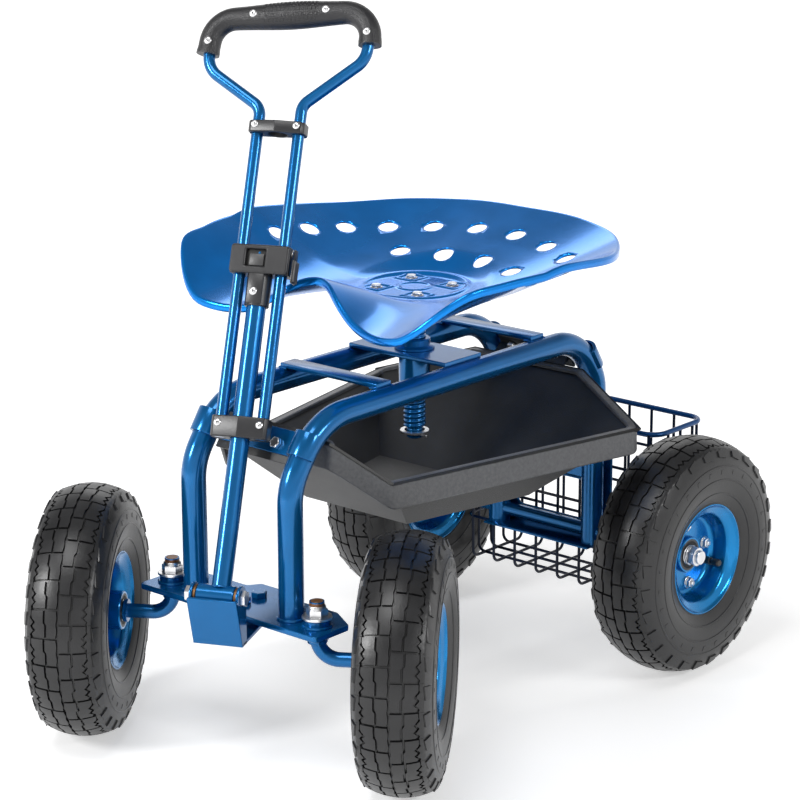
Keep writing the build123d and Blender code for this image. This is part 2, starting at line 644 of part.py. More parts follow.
PAN_HALF = [
    (0, 186),
    (78, 181),
    (148, 146),
    (203, 77),
    (231, 5),
    (229, -56),
    (210, -103),
    (190, -149),
    (141, -181),
    (75, -169),
    (39, -160),
]
GRID_U = [-252 + 21 * i for i in range(25)]
GRID_V = [-202 + 21 * i for i in range(20)]
RIM_DROP = 6.0
RIM_INSET = (0.985, 0.98)
grid = [[(u, SEAT_Y + v, SEAT_Z + pan_height(u, v)) for v in GRID_V] for u in GRID_U]
dish = Face.make_surface_from_array_of_points(grid, tol=0.05)
rim_points = PAN_HALF + [(0, -145)] + [(-u, v) for u, v in reversed(PAN_HALF[1:])]
inset_points = [(u * RIM_INSET[0], v * RIM_INSET[1]) for u, v in rim_points]
prism = Pos(0, SEAT_Y, 360) * extrude(make_face(Spline(*rim_points, periodic=True)), 260)
core = Pos(0, SEAT_Y, 360) * extrude(make_face(Spline(*inset_points, periodic=True)), 260)
blank = prism & Solid.extrude(Pos(0, 0, -RIM_DROP) * dish, Vector(0, 0, RIM_DROP))
below = Solid.extrude(Pos(0, 0, -RIM_DROP - 5) * dish, Vector(0, 0, RIM_DROP + 5 - PAN_T))
pan = blank - (core & below)


def pan_hole(u, v, radius):
    step = 1.0
    slope_u = (pan_height(u + step, v) - pan_height(u - step, v)) / (2 * step)
    slope_v = (pan_height(u, v + step) - pan_height(u, v - step)) / (2 * step)
    spot = Plane(
        origin=(u, SEAT_Y + v, SEAT_Z + pan_height(u, v)), z_dir=(-slope_u, -slope_v, 1)
    )
    return spot.location * Cylinder(radius, 24)


HOLE_R = 11.0
holes = []
for count, step, half_width, depth in ((12, 16, 192, 163), (4, 20.5, 154, 107)):
    for i in range(count):
        angle = radians(90 + (i - (count - 1) / 2) * step)
        holes.append(pan_hole(half_width * cos(angle), depth * sin(angle) - 26.5, HOLE_R))
nodes["seat_pan"] = pan - holes

# Origin at the centre of the footprint, on the ground
boxes = [shape.bounding_box() for shape in nodes.values()]
centre_x = (min(b.min.X for b in boxes) + max(b.max.X for b in boxes)) / 2
centre_y = (min(b.min.Y for b in boxes) + max(b.max.Y for b in boxes)) / 2
shift = Pos(-centre_x, -centre_y, -min(b.min.Z for b in boxes))
os.makedirs("parts", exist_ok=True)
for name, shape in nodes.items():
    export_step(shift * group([shape]), f"parts/{name}.step")
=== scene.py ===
import json
import math
import bmesh
import bpy
import numpy as np
from mathutils import Matrix


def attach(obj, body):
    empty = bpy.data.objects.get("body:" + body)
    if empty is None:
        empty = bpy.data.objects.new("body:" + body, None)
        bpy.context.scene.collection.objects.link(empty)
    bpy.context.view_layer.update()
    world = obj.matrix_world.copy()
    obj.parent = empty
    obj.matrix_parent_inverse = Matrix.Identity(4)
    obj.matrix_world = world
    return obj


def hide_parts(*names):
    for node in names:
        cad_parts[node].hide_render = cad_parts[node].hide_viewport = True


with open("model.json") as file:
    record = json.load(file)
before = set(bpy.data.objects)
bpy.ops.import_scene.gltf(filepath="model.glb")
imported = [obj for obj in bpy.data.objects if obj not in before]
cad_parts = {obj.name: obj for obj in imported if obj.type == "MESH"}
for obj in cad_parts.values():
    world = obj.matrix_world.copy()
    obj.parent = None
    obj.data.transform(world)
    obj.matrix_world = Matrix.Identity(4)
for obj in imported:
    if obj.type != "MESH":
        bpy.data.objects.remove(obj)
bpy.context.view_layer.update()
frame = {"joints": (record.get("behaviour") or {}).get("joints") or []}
scene = bpy.context.scene

# Sizes are millimetres in the cart's own frame: kingpins on Y = 0, front towards -Y, ground on Z = 0
steer_joint = next(joint for joint in frame["joints"] if joint["name"] == "steer")
CENTRE_Y = -1000 * steer_joint["pos_m"][1]

# Running gear
WHEELBASE = 490.0
REAR_WHEEL_X = 189.5
TYRE_R = 130.0
KINGPIN_X = 100.0
SPINDLE_OFFSET = 88.0
SPINDLE_BEND_R = 22.0
SPINDLE_TOP = 190.0
SPINDLE_END = 139.0
REAR_AXLE_END = 240.5
AXLE_R = 7.5
HUB_IN = 36.0
HUB_OUT = 9.0
RECESS = HUB_IN - HUB_OUT
BEARING_W = 11.0
AXLE_NUT_FLATS = 19.0
COLLAR_R = 12.0
WHEEL_STEER = 33.0
LEVER_STEER = 25.0
LEVER_ARM = 51.5
SPINDLE_ARM = 40.0

# Front axle plate and the steering layers beneath it
PLATE_TOP = 164.0
PLATE_T = 6.0
LEVER_Z = 147.0
LEVER_TOP = 151.0
LINK_T = 4.5
LINK_Z = {"left": 142.0, "right": 136.5}
LINK_PIN_R = 4.0
LINK_PLAY = 2.6
FIT = 0.06
STOP_BOLT_R = 23.0
BOLT_FLATS = 14.0

# Frame tubes, bars and rear panel
TUBE_X = 66.0
TUBE_R = 12.7
TUBE_BENDS = [0, 60, 75, 70, 45, 0]
RAIL_Z = 357.0
FRONT_BEND = (0.0, 298.0)
FRONT_KNEE = (41.0, RAIL_Z)
REAR_KNEE = (456.0, RAIL_Z)
REAR_BEND = (WHEELBASE, 306.0)
LEG_END = 115.5
BAR_BOTTOM = RAIL_Z + TUBE_R
BAR_TOP = BAR_BOTTOM + 5.0
PANEL_Y = WHEELBASE + TUBE_R
PANEL_T = 2.5
PANEL_X = 82.0
PANEL_TOP = 262.0
WINDOW = (-50, 50, 134, 182)

# Handle
BARREL_Y = -75.2
BARREL_Z = 197.7
LEAN = 25.2
HANDLE_OFFSET = 3.3
EAR_X = 25.5
EAR_T = 3.0
FACE_SETBACK = 17.0
ROD_SPACING = 21.5
ROD_R = 6.0
HANDLE_TUBE_R = 9.7
LATCH_T = 332.0
GRIP_T = 584.0
GRIP_RISE = 0.095
GRIP_R = 11.2

# Seat
SEAT_Y = 263.0
SEAT_Z = 440.0
SOCKET_R = 16.5
POST_R = 12.0
THREAD_END = 416
PAN_T = 2.6
WAIST = 0.105
SIDE_RISE = 12.0
SEAT_BOLT = 28.0
EYE = np.eye(4)


# Placement
def unit(v):
    return v / np.linalg.norm(v, axis=-1, keepdims=True)


def move(x=0.0, y=0.0, z=0.0):
    m = np.eye(4)
    m[:3, 3] = (x, y, z)
    return m


def turn(axis, degrees):
    c = math.cos(math.radians(degrees))
    s = math.sin(math.radians(degrees))
    i = "xyz".index(axis)
    j = (i + 1) % 3
    k = (i + 2) % 3
    m = np.eye(4)
    m[j, j] = m[k, k] = c
    m[j, k] = -s
    m[k, j] = s
    return m


def basis(origin, x_dir, z_dir):
    z = unit(np.array(z_dir, float))
    x = np.array(x_dir, float)
    x = unit(x - z * x.dot(z))
    m = np.eye(4)
    m[:3] = np.column_stack([x, np.cross(z, x), z, origin])
    return m


STEERED = turn("z", LEVER_STEER)
HANDLE = STEERED @ move(HANDLE_OFFSET, BARREL_Y, BARREL_Z) @ turn("x", -LEAN)
SIDES = (("left", 1), ("right", -1))
KNUCKLES = {name: move(side * KINGPIN_X) @ turn("z", WHEEL_STEER) for name, side in SIDES}
UP_X = turn("y", 90)
UP_NEG_X = turn("y", -90)
FACING_FRONT = turn("x", 90)
POST = move(0, SEAT_Y, 0)
SEAT = move(0, SEAT_Y, SEAT_Z)


# Outlines
def full_turn(n):
    return np.arange(n) * 2 * math.pi / n


def ring_of(n, r, centre=(0.0, 0.0)):
    return [(centre[0] + r * math.cos(t), centre[1] + r * math.sin(t)) for t in full_turn(n)]


def ellipse_points(rx, ry, first, last, count, centre):
    angles = np.radians(np.linspace(first, last, count))
    return [(centre[0] + rx * math.cos(t), centre[1] + ry * math.sin(t)) for t in angles]


def arc_points(r, first, last, count, centre=(0.0, 0.0)):
    return ellipse_points(r, r, first, last, count, centre)


def with_mirror(points):
    return points + [(-x, y) for x, y in reversed(points)]


def rounded(points, radii, steps, closed=False):
    pts = [np.array(p, float) for p in points]
    n = len(pts)
    out = []
    for i, p in enumerate(pts):
        r = radii[i] if closed or 0 < i < n - 1 else 0
        if not r:
            out.append(p)
            continue
        a = unit(pts[i - 1] - p)
        b = unit(pts[(i + 1) % n] - p)
        half = math.acos(max(-1.0, min(1.0, float(a.dot(b))))) / 2
        reach = r / math.tan(half)
        centre = p + unit(a + b) * r / math.sin(half)
        start = p + a * reach - centre
        end = p + b * reach - centre
        sweep = math.pi - 2 * half
        for f in np.linspace(0, 1, steps + 1):
            near = math.sin((1 - f) * sweep) / math.sin(sweep)
            far = math.sin(f * sweep) / math.sin(sweep)
            out.append(centre + start * near + end * far)
    return np.array(out)


def round_loop(points, radii, steps):
    return rounded([(x, y, 0) for x, y in points], radii, steps, True)[:, :2].tolist()


def rounded_rect(x0, x1, y0, y1, r, steps=6):
    return round_loop([(x0, y0), (x1, y0), (x1, y1), (x0, y1)], [r] * 4, steps)


# Shapes: each gives (vertices, faces)
def grid_faces(rows, columns, wrap_rows=False, wrap_columns=False):
    faces = []
    for i in range(rows if wrap_rows else rows - 1):
        this = i * columns
        above = (i + 1) % rows * columns
        for j in range(columns if wrap_columns else columns - 1):
            beside = (j + 1) % columns
            faces.append((this + j, this + beside, above + beside, above + j))
    return faces


def capped(rings):
    rings = np.array(rings)
    m, n, _ = rings.shape
    ends = [tuple(range(n))[::-1], tuple(range((m - 1) * n, m * n))]
    return rings.reshape(-1, 3), grid_faces(m, n, wrap_columns=True) + ends


def lathe(profile, n=64):
    z, r = np.array(profile, float).T
    a = full_turn(n)[:, None]
    rings = np.stack(np.broadcast_arrays(r * np.cos(a), r * np.sin(a), z), -1)
    return rings.reshape(-1, 3), grid_faces(n, len(z), True, True)


def rod(r, z0, z1, chamfer=0.6):
    c = min(chamfer, (z1 - z0) / 3, r / 3)
    return lathe([(z0, 0), (z0, r - c), (z0 + c, r), (z1 - c, r), (z1, r - c), (z1, 0)], 40)


def washer(r, z0, z1, bore):
    c = 0.4
    return lathe([(z0, bore), (z0, r - c), (z0 + c, r), (z1 - c, r), (z1, r - c), (z1, bore)], 40)


def tube(path, r, n, closed=False):
    p = np.array(path, float)
    if closed:
        along = unit(np.roll(p, -1, 0) - np.roll(p, 1, 0))
    else:
        along = unit(np.gradient(p, axis=0))
    upright = abs(along[0, 2]) >= 0.9
    u = np.cross(along[0], (1.0, 0.0, 0.0) if upright else (0.0, 0.0, 1.0))
    a = full_turn(n)[:, None]
    rings = []
    for centre, d in zip(p, along):
        u = unit(u - d * u.dot(d))
        rings.append(centre + r * (np.cos(a) * u + np.sin(a) * np.cross(d, u)))
    if closed:
        return np.concatenate(rings), grid_faces(len(p), n, True, True)
    return capped(rings)


def bead(path, r, closed=False):
    return tube(path, r, 10, closed)


def weld_ring(r, z, size, x=0.0, n=40):
    return bead([(px, py, z) for px, py in ring_of(n, r, (x, 0))], size, True)


def slab(loops, z0, z1, bevel):
    thick = z1 - z0
    b = min(bevel, thick * 0.45)
    curve = bpy.data.curves.new("slab", "CURVE")
    curve.dimensions = "2D"
    curve.fill_mode = "BOTH"
    curve.extrude = thick / 2 - b
    curve.bevel_depth = b
    curve.bevel_resolution = 2
    curve.offset = -b
    for loop in loops:
        spline = curve.splines.new("POLY")
        spline.points.add(len(loop) - 1)
        for point, (x, y) in zip(spline.points, loop):
            point.co = (x, y, 0, 1)
        spline.use_cyclic_u = True
    ob = bpy.data.objects.new("slab", curve)
    scene.collection.objects.link(ob)
    mesh = bpy.data.meshes.new_from_object(ob.evaluated_get(bpy.context.evaluated_depsgraph_get()))
    v = np.array([tuple(q.co) for q in mesh.vertices]) + (0, 0, (z0 + z1) / 2)
    faces = [tuple(f.vertices) for f in mesh.polygons]
    bpy.data.objects.remove(ob)
    bpy.data.curves.remove(curve)
    bpy.data.meshes.remove(mesh)
    return v, faces


def block(x0, x1, y0, y1, z0, z1, r, segments=2):
    bm = bmesh.new()
    bmesh.ops.create_cube(bm, size=1.0)
    for q in bm.verts:
        q.co = [(lo + hi) / 2 + c * (hi - lo) for c, lo, hi in zip(q.co, (x0, y0, z0), (x1, y1, z1))]
    if r:
        bmesh.ops.bevel(bm, geom=bm.edges[:], offset=r, segments=segments, profile=0.5, affect="EDGES")
    bm.verts.index_update()
    v = np.array([tuple(q.co) for q in bm.verts])
    faces = [tuple(q.index for q in f.verts) for f in bm.faces]
    bm.free()
    return v, faces


def hexagon(flats, z0, z1):
    return slab([ring_of(6, flats / math.sqrt(3))], z0, z1, 0.9)


def nut(flats, z0, z1, bore):
    return slab([ring_of(6, flats / math.sqrt(3)), ring_of(28, bore)], z0, z1, 0.8)


def threaded(r, pitch, depth, z0, z1, n=36):
    rows_per_turn = 8
    rows = int((z1 - z0) / pitch * rows_per_turn) + 1
    z = np.linspace(z0, z1, rows)[:, None]
    a = full_turn(n)
    phase = (z / pitch - a / (2 * math.pi)) % 1.0
    radius = r - depth * np.clip(np.abs(phase - 0.5) * 4 - 0.5, 0, 1)
    return capped(np.stack(np.broadcast_arrays(radius * np.cos(a), radius * np.sin(a), z), -1))


def join(shapes):
    verts = []
    faces = []
    base = 0
    for v, f in shapes:
        verts.append(v)
        faces += [tuple(i + base for i in q) for q in f]
        base += len(v)
    return np.concatenate(verts), faces


def placed(place, mat, *shapes):
    return [(shape, place, mat) for shape in shapes]


def piece(name, body, nodes, parts, crease=35.0):
    moved = [(np.asarray(v, float) @ place[:3, :3].T + place[:3, 3], f) for (v, f), place, _ in parts]
    verts, faces = join(moved)
    mats = list(dict.fromkeys(mat for _, _, mat in parts))
    index = [mats.index(mat) for (_, f), _, mat in parts for _ in f]
    mesh = bpy.data.meshes.new(name)
    mesh.from_pydata(((verts - (0, CENTRE_Y, 0)) / 1000).tolist(), [], faces)
    for mat in mats:
        mesh.materials.append(mat)
    mesh.polygons.foreach_set("material_index", index)
    mesh.polygons.foreach_set("use_smooth", [True] * len(mesh.polygons))
    mesh.update()
    bm = bmesh.new()
    bm.from_mesh(mesh)
    bmesh.ops.recalc_face_normals(bm, faces=bm.faces[:])
    bm.to_mesh(mesh)
    bm.free()
    mesh.set_sharp_from_angle(angle=math.radians(crease))
    ob = bpy.data.objects.new(name, mesh)
    scene.collection.objects.link(ob)
    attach(ob, body)
    if nodes:
        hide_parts(*nodes)
    return ob


# Materials
def new_node(nt, kind, inputs, operation=None):
    node = nt.nodes.new("ShaderNode" + kind)
    if operation:
        node.operation = operation
    for name, value in inputs.items():
        if isinstance(value, bpy.types.NodeSocket):
            nt.links.new(value, node.inputs[name])
        else:
            node.inputs[name].default_value = value
    return node.outputs


def material(name, color, rough, metal=0.0, coat=0.0, bump=None, vary=(0.08, 30), specular=0.5, cells=False):
    rough_spread = 0.06
    contrast, patch_scale = vary
    mat = bpy.data.materials.new(name)
    mat.use_nodes = True
    nt = mat.node_tree
    shader = nt.nodes["Principled BSDF"].inputs
    shader["Metallic"].default_value = metal
    shader["Coat Weight"].default_value = coat
    shader["Coat Roughness"].default_value = 0.08
    shader["Specular IOR Level"].default_value = specular
    coord = new_node(nt, "TexCoord", {})["Object"]
    noise = new_node(nt, "TexNoise", {"Vector": coord, "Scale": patch_scale, "Detail": 6.0})["Fac"]
    ramp = nt.nodes.new("ShaderNodeValToRGB")
    for stop, position, factor in zip(ramp.color_ramp.elements, (0.3, 0.72), (1 - contrast, 1 + contrast)):
        stop.position = position
        stop.color = tuple(min(1.0, c * factor) for c in color) + (1,)
    nt.links.new(noise, ramp.inputs["Fac"])
    nt.links.new(ramp.outputs["Color"], shader["Base Color"])
    low = max(0.02, rough - rough_spread)
    high = min(1.0, rough + rough_spread)
    spread = new_node(nt, "MapRange", {"Value": noise, "To Min": low, "To Max": high})
    nt.links.new(spread["Result"], shader["Roughness"])
    if bump:
        strength, grain_scale = bump
        if cells:
            grain = new_node(nt, "TexVoronoi", {"Vector": coord, "Scale": grain_scale})["Distance"]
        else:
            grain = new_node(nt, "TexNoise", {"Vector": coord, "Scale": grain_scale, "Detail": 3.0})["Fac"]
        relief = new_node(nt, "Bump", {"Strength": strength, "Distance": 0.001, "Height": grain})
        nt.links.new(relief["Normal"], shader["Normal"])
    return mat


BLUE = material("royal_blue", (0.003, 0.125, 0.35), 0.2, 0.55, 0.3, (0.04, 260), specular=0.2)
SEAT_BLUE = material("seat_blue", (0.002, 0.21, 0.68), 0.17, 0.7, 0.14, (0.03, 200), specular=0.2)
AZURE = material("azure_rim", (0.002, 0.2, 0.5), 0.2, 0.7, 0.3, (0.04, 500), specular=0.2)
RUBBER = material("tyre_rubber", (0.013, 0.013, 0.014), 0.34, bump=(0.12, 500), vary=(0.3, 40))
ZINC = material("zinc", (0.72, 0.72, 0.73), 0.3, metal=1.0, bump=(0.08, 900), vary=(0.12, 90))
AMBER = material("amber_nut", (0.20, 0.085, 0.03), 0.4, metal=0.3, bump=(0.05, 800))
BRONZE = material("bronze", (0.20, 0.10, 0.04), 0.42, metal=0.7, bump=(0.1, 900))
TRAY = material("tray_plastic", (0.026, 0.026, 0.026), 0.42, bump=(0.3, 900), vary=(0.18, 30), specular=0.4)
# The tray plastic made lighter for the rolled lip: painted sheen
TRAY_LIP_SHEEN = material("tray_lip_painted_sheen", (0.1, 0.103, 0.11), 0.33, bump=(0.4, 900), vary=(0.2, 300))
BLACK = material("satin_black", (0.02, 0.02, 0.022), 0.34, bump=(0.08, 600), vary=(0.2, 30))
GREY = material("latch_plate_grey", (0.06, 0.06, 0.062), 0.4, bump=(0.08, 600), vary=(0.15, 30))
GRIP = material("grip_black", (0.016, 0.016, 0.018), 0.36, bump=(0.3, 900), vary=(0.2, 30), cells=True)
# Near-black: the bearing shields' own black, and painted shade in the screw slots and the latch recess
SEAL_AND_SHADE_BLACK = material("seal_black_and_painted_shade", (0.004, 0.004, 0.004), 0.6, bump=(0.1, 300), vary=(0.2, 30))
NAVY = material("navy_wire", (0.002, 0.01, 0.036), 0.3, coat=0.2, bump=(0.06, 300), specular=0.2)
WIRE_BLUE = material("rim_wire_blue", (0.002, 0.07, 0.24), 0.26, 0.3, 0.2, (0.06, 300), specular=0.2)


# Tyre section: crowned tread and round sidewall, measured along the skin from the middle of the tread
def smooth(x):
    x = np.clip(x, 0, 1)
    return x * x * (3 - 2 * x)


def arc_through(a, b, c, n):
    a, b, c = np.array([a, b, c])
    centre = np.linalg.solve(2 * np.array([b - a, c - a]), [b @ b - a @ a, c @ c - a @ a])
    first, last = (math.atan2(y, x) for x, y in (a - centre, c - centre))
    t = np.linspace(first, last, n)
    return centre + np.linalg.norm(a - centre) * np.column_stack([np.cos(t), np.sin(t)])


SHOULDER = (32.0, 122.0)
CROWN = arc_through((0.0, TYRE_R), (16.6, TYRE_R - 2.06), SHOULDER, 30)
WALL = arc_through(SHOULDER, (40.0, 93.0), (32.3, 63.0), 40)
SECTION_MIDDLE = (0.0, 85.0)
SECTION = np.concatenate([CROWN, WALL[1:]])
ALONG = np.concatenate([[0], np.cumsum(np.hypot(*np.diff(SECTION, axis=0).T))])
SLOPE = np.gradient(SECTION, axis=0)
NORMAL = unit(SLOPE[:, ::-1] * (-1, 1))
NORMAL *= np.sign((NORMAL * (SECTION - SECTION_MIDDLE)).sum(1))[:, None]


def skin(s, lift):
    x = np.interp(s, ALONG, SECTION[:, 0]) + lift * np.interp(s, ALONG, NORMAL[:, 0])
    r = np.interp(s, ALONG, SECTION[:, 1]) + lift * np.interp(s, ALONG, NORMAL[:, 1])
    return x, r


# Tread on each side: two rows of blocks, a shoulder band, lugs below it and small bars on the side wall
TREAD_PITCHES = 28
PITCH = 2 * math.pi / TREAD_PITCHES
GROOVE = 2.4
TREAD_HALF = 33.0
SIPE_HALF = 0.75 / (PITCH * TYRE_R)
ZIGZAG_AT = [0, 0.3, 0.45, 0.6, 0.75, 0.9, 1]
ZIGZAG = [2.0, 2.0, -2.0, 1.6, -2.2, 1.8, 0.5]
BLOCK_SPAN = (SIPE_HALF, 1 - SIPE_HALF)
FULL_SPAN = (-0.01, 1.01)


def centre_gap(q):
    return 0.25 + 0.8 * math.cos(2 * math.pi * q) ** 2


def jog(q):
    return math.tanh((0.5 - q) * 40)


def zigzag(q, side):
    gap = 0.95 * float(smooth((q - 0.2) / 0.1))
    return 26.8 + float(np.interp(q, ZIGZAG_AT, ZIGZAG)) + side * gap


def tread_block(side, phase, inner, outer, span, height, sink, columns, rows, slant=0.0):
    edge = 0.45
    pad_across = np.concatenate([[0], np.linspace(0, 1, columns), [1]])
    pad_around = np.concatenate([[0], np.linspace(0, 1, rows), [1]])
    verts = []
    for i, b in enumerate(pad_around):
        for j, a in enumerate(pad_across):
            low = i in (0, rows + 1) or j in (0, columns + 1)
            tuck = 0.0 if low else edge
            s0 = inner(b) + tuck
            s = s0 + (outer(b) - tuck - s0) * a
            angle = phase + (span[0] + (span[1] - span[0]) * b) * PITCH
            angle += (tuck * (1 - 2 * b) + slant * (s - s0)) / TYRE_R
            x, r = skin(s, -sink if low else height)
            verts.append((side * x, r * math.cos(angle), r * math.sin(angle)))
    return np.array(verts), grid_faces(rows + 2, columns + 2)


def tread_pitch(side, phase):
    sink = GROOVE + 0.4
    # Inner and outer edge, share of the pitch, height, depth of the foot, columns, rows, slant
    kinds = (
        (centre_gap, lambda q: 12.2 + jog(q), BLOCK_SPAN, 0, sink, 4, 17),
        (lambda q: 13.7 + jog(q), lambda q: zigzag(q, -1), BLOCK_SPAN, 0, sink, 4, 25),
        (lambda q: zigzag(q, 1), lambda q: 35.5, FULL_SPAN, 0.02, sink, 4, 25),
        (lambda q: 33.0 + 2.5 * q, lambda q: 44.5 - 2.0 * q, (0.1, 0.62), 1.5, 0.6, 4, 5),
        (lambda q: 56.0, lambda q: 61.5, (0.3, 0.5), 0.35, 0.5, 3, 3, 0.3),
    )
    return [tread_block(side, phase, *kind) for kind in kinds]


def lathe_on_x(profile, n):
    v, faces = lathe(profile, n)
    return v[:, [2, 0, 1]], faces


def tyre_shape():
    s = np.concatenate([np.linspace(0, TREAD_HALF, 20), np.linspace(TREAD_HALF + 1.5, ALONG[-1], 30)])
    foot = [(32.8, 61.6), (31.4, 60.2), (28.0, 56.6)]
    half = list(zip(*skin(s, np.where(s <= TREAD_HALF, -GROOVE, 0.0)))) + foot
    shapes = [lathe_on_x([(-x, r) for x, r in reversed(half[1:])] + half, 224)]
    for side in (1, -1):
        half_step = 0.0 if side > 0 else 0.5
        for k in range(TREAD_PITCHES):
            shapes += tread_pitch(side, (k + half_step) * PITCH)
    for first in (51.0, 66.0, 82.0):
        for side in (1, -1):
            line = skin(first + np.array([0.0, 0.8, 2.0, 2.8]), np.array([-0.4, 0.6, 0.6, -0.4]))
            shapes.append(lathe_on_x([(side * x, r) for x, r in zip(*line)], 160))
    return join(shapes)


# Wheels: pressed rim halves bolted together, valve, hub and bearings
RIM_PROFILE = [
    (2.0, 20.2), (4.2, 20.2), (4.2, 40.0), (4.8, 43.0), (7.0, 45.6), (10.0, 46.4), (23.5, 47.6),
    (26.0, 49.0), (27.6, 51.6), (29.2, 56.0), (30.4, 58.0), (31.8, 59.0), (32.6, 59.8), (32.5, 60.8),
    (31.4, 61.4), (29.6, 60.8), (28.2, 58.6), (25.6, 52.4), (23.5, 50.2), (5.5, 48.2), (2.0, 44.0),
]
RIM_FACE = 4.2
RIM_BOLT_R = 34.0
VALVE_R = 41.0
VALVE_ANGLE = 66.0
HUB_R = 20.0
HUB_FLANGE_R = 30.0
RACE_R = 17.5
CORNERS = {
    "front_left": KNUCKLES["left"] @ move(SPINDLE_OFFSET, 0, TYRE_R),
    "front_right": KNUCKLES["right"] @ move(-SPINDLE_OFFSET, 0, TYRE_R) @ turn("z", 180),
    "rear_left": move(REAR_WHEEL_X, WHEELBASE, TYRE_R),
    "rear_right": move(-REAR_WHEEL_X, WHEELBASE, TYRE_R) @ turn("z", 180),
}


def rim_bolts(axis):
    seat = RIM_FACE + 1
    head = [washer(7.0, RIM_FACE, seat, 2.5), hexagon(10.5, seat, 9.6)]
    bolt_end = rod(2.8, 9.0, 11.6)
    parts = []
    for flip, shapes in ((0, head + [bolt_end]), (180, head)):
        for x, y in arc_points(RIM_BOLT_R, 8, 278, 4):
            parts += placed(axis @ move(x, y) @ turn("x", flip), ZINC, *shapes)
    return parts


def valve(axis):
    stem = axis @ turn("z", VALVE_ANGLE) @ move(VALVE_R, 0, 4) @ turn("y", -10)
    cap = lathe([(14, 0), (14, 4.1), (20, 4.1), (21.5, 3), (21.5, 0)], 24)
    return placed(stem, BLACK, rod(4.4, 0, 9), rod(3.1, 9, 15), cap)


def hub_shape():
    inner = [(-HUB_IN, RACE_R), (-HUB_IN, HUB_R - 0.8), (1 - HUB_IN, HUB_R)]
    flange = [(-6, HUB_R), (-4.4, 22), (-4.4, HUB_FLANGE_R), (2.4, HUB_FLANGE_R), (2.4, 22), (4, HUB_R)]
    outer = [(HUB_OUT - 1, HUB_R), (HUB_OUT, HUB_R - 0.8), (HUB_OUT, RACE_R), (HUB_OUT - BEARING_W, RACE_R)]
    bore = [(HUB_OUT - BEARING_W, 12), (BEARING_W - HUB_IN, 12), (BEARING_W - HUB_IN, RACE_R)]
    return lathe(inner + flange + outer + bore, 64)


def bearing(place, face):
    deep = face - BEARING_W
    seal = face - 0.6
    outer = [(deep, 14.6), (deep, 17.4), (face, 17.4), (face, 15.2), (face - 0.8, 14.6)]
    shield = [(deep + 2, 10.8), (deep + 2, 14.6), (seal, 14.6), (seal, 10.8)]
    inner = [(deep, 7.6), (deep, 10.8), (seal, 10.8), (face, 10.2), (face, 7.6)]
    return [(lathe(line, 48), place, mat) for line, mat in ((outer, GREY), (shield, SEAL_AND_SHADE_BLACK), (inner, ZINC))]


def wheels():
    tyre = tyre_shape()
    for corner, place in CORNERS.items():
        body = f"{corner}_wheel"
        axis = place @ UP_X
        tread = place @ turn("z", 180) if "right" in corner else place
        piece(f"{corner}_tyre_tread", body, [f"{corner}_tyre"], placed(tread, RUBBER, tyre), 40)
        halves = [lathe([(side * x, r) for x, r in RIM_PROFILE], 72) for side in (1, -1)]
        rim = placed(axis, AZURE, *halves) + rim_bolts(axis) + valve(axis)
        piece(f"{corner}_rim_pressed", body, [f"{corner}_rim"], rim)
        piece(f"{corner}_hub_turned", body, [f"{corner}_hub"], placed(axis, AZURE, hub_shape()))
        races = bearing(axis, HUB_OUT) + bearing(axis @ turn("x", 180), HUB_IN)
        piece(f"{corner}_races", body, [f"{corner}_bearings"], races)


# Frame tubes, flat bars and seat socket
def frame_tubes():
    points = [(0, PLATE_TOP), FRONT_BEND, FRONT_KNEE, REAR_KNEE, REAR_BEND, (WHEELBASE, LEG_END)]
    for name, side in SIDES:
        path = rounded([(side * TUBE_X, y, z) for y, z in points], TUBE_BENDS, 14)
        leg = path[0] + (path[1] - path[0]) * np.linspace(0, 0.9, 6)[:, None]
        bent = tube(np.concatenate([leg, path[1:]]), TUBE_R, 32)
        weld = weld_ring(TUBE_R + 0.6, PLATE_TOP + 0.8, 1.9, side * TUBE_X)
        piece(f"{name}_tube_bent", "frame", [f"{name}_frame_tube"], placed(EYE, BLUE, bent, weld))


def flat_bars():
    narrow = 11.0
    wide = 29.0
    shapes = []
    for y in (139.0, 387.0):
        shapes.append(block(-TUBE_X, TUBE_X, y - narrow, y + narrow, BAR_BOTTOM, BAR_TOP, 1.0))
        for x in (-62, 62):
            for edge in (y - narrow, y + narrow):
                weld = ((x - 5, -0.1), (x, 0.3), (x + 5, -0.3))
                shapes.append(bead([(at, edge, BAR_BOTTOM + rise) for at, rise in weld], 1.5))
    piece("narrow_bars_flat", "frame", ["narrow_flat_bars"], placed(EYE, BLUE, *shapes))
    outline = rounded_rect(-TUBE_X, TUBE_X, -wide, wide, 0)
    bar = slab([outline, ring_of(40, SOCKET_R)], BAR_BOTTOM, BAR_TOP, 0.8)
    piece("middle_bar_flat", "frame", ["middle_flat_bar"], placed(POST, BLUE, bar))


def seat_socket():
    lower = [(330, POST_R), (330, 15.9), (330.6, SOCKET_R), (BAR_TOP, SOCKET_R)]
    flange = [(BAR_TOP, 20.6), (375.2, 21.2), (377.0, 21.2), (377.6, 20.6), (378.2, 17.4), (379, SOCKET_R)]
    upper = [(385, SOCKET_R), (386, 15.6), (386, POST_R)]
    socket = lathe(lower + flange + upper, 48)
    piece("socket_turned", "frame", ["seat_socket"], placed(POST, BLUE, socket))


# Cross brackets, folded over both tubes
def slope(bottom, top):
    middle = (0, (bottom[0] + top[0]) / 2, (bottom[1] + top[1]) / 2)
    return basis(middle, (1, 0, 0), (0, top[0] - bottom[0], top[1] - bottom[1]))


FRONT_SLOPE = slope(FRONT_BEND, FRONT_KNEE)
REAR_SLOPE = slope(REAR_BEND, REAR_KNEE)


def bracket_profile(outward):
    rise = 14.2
    upper = ellipse_points(15.7, rise, 180, 0, 25, (-TUBE_X, 1.5))
    lower = ellipse_points(12.75, rise, 0, 180, 25, (TUBE_X, -1.5))
    return [(x, y * outward) for x, y in with_mirror(upper) + with_mirror(lower)]


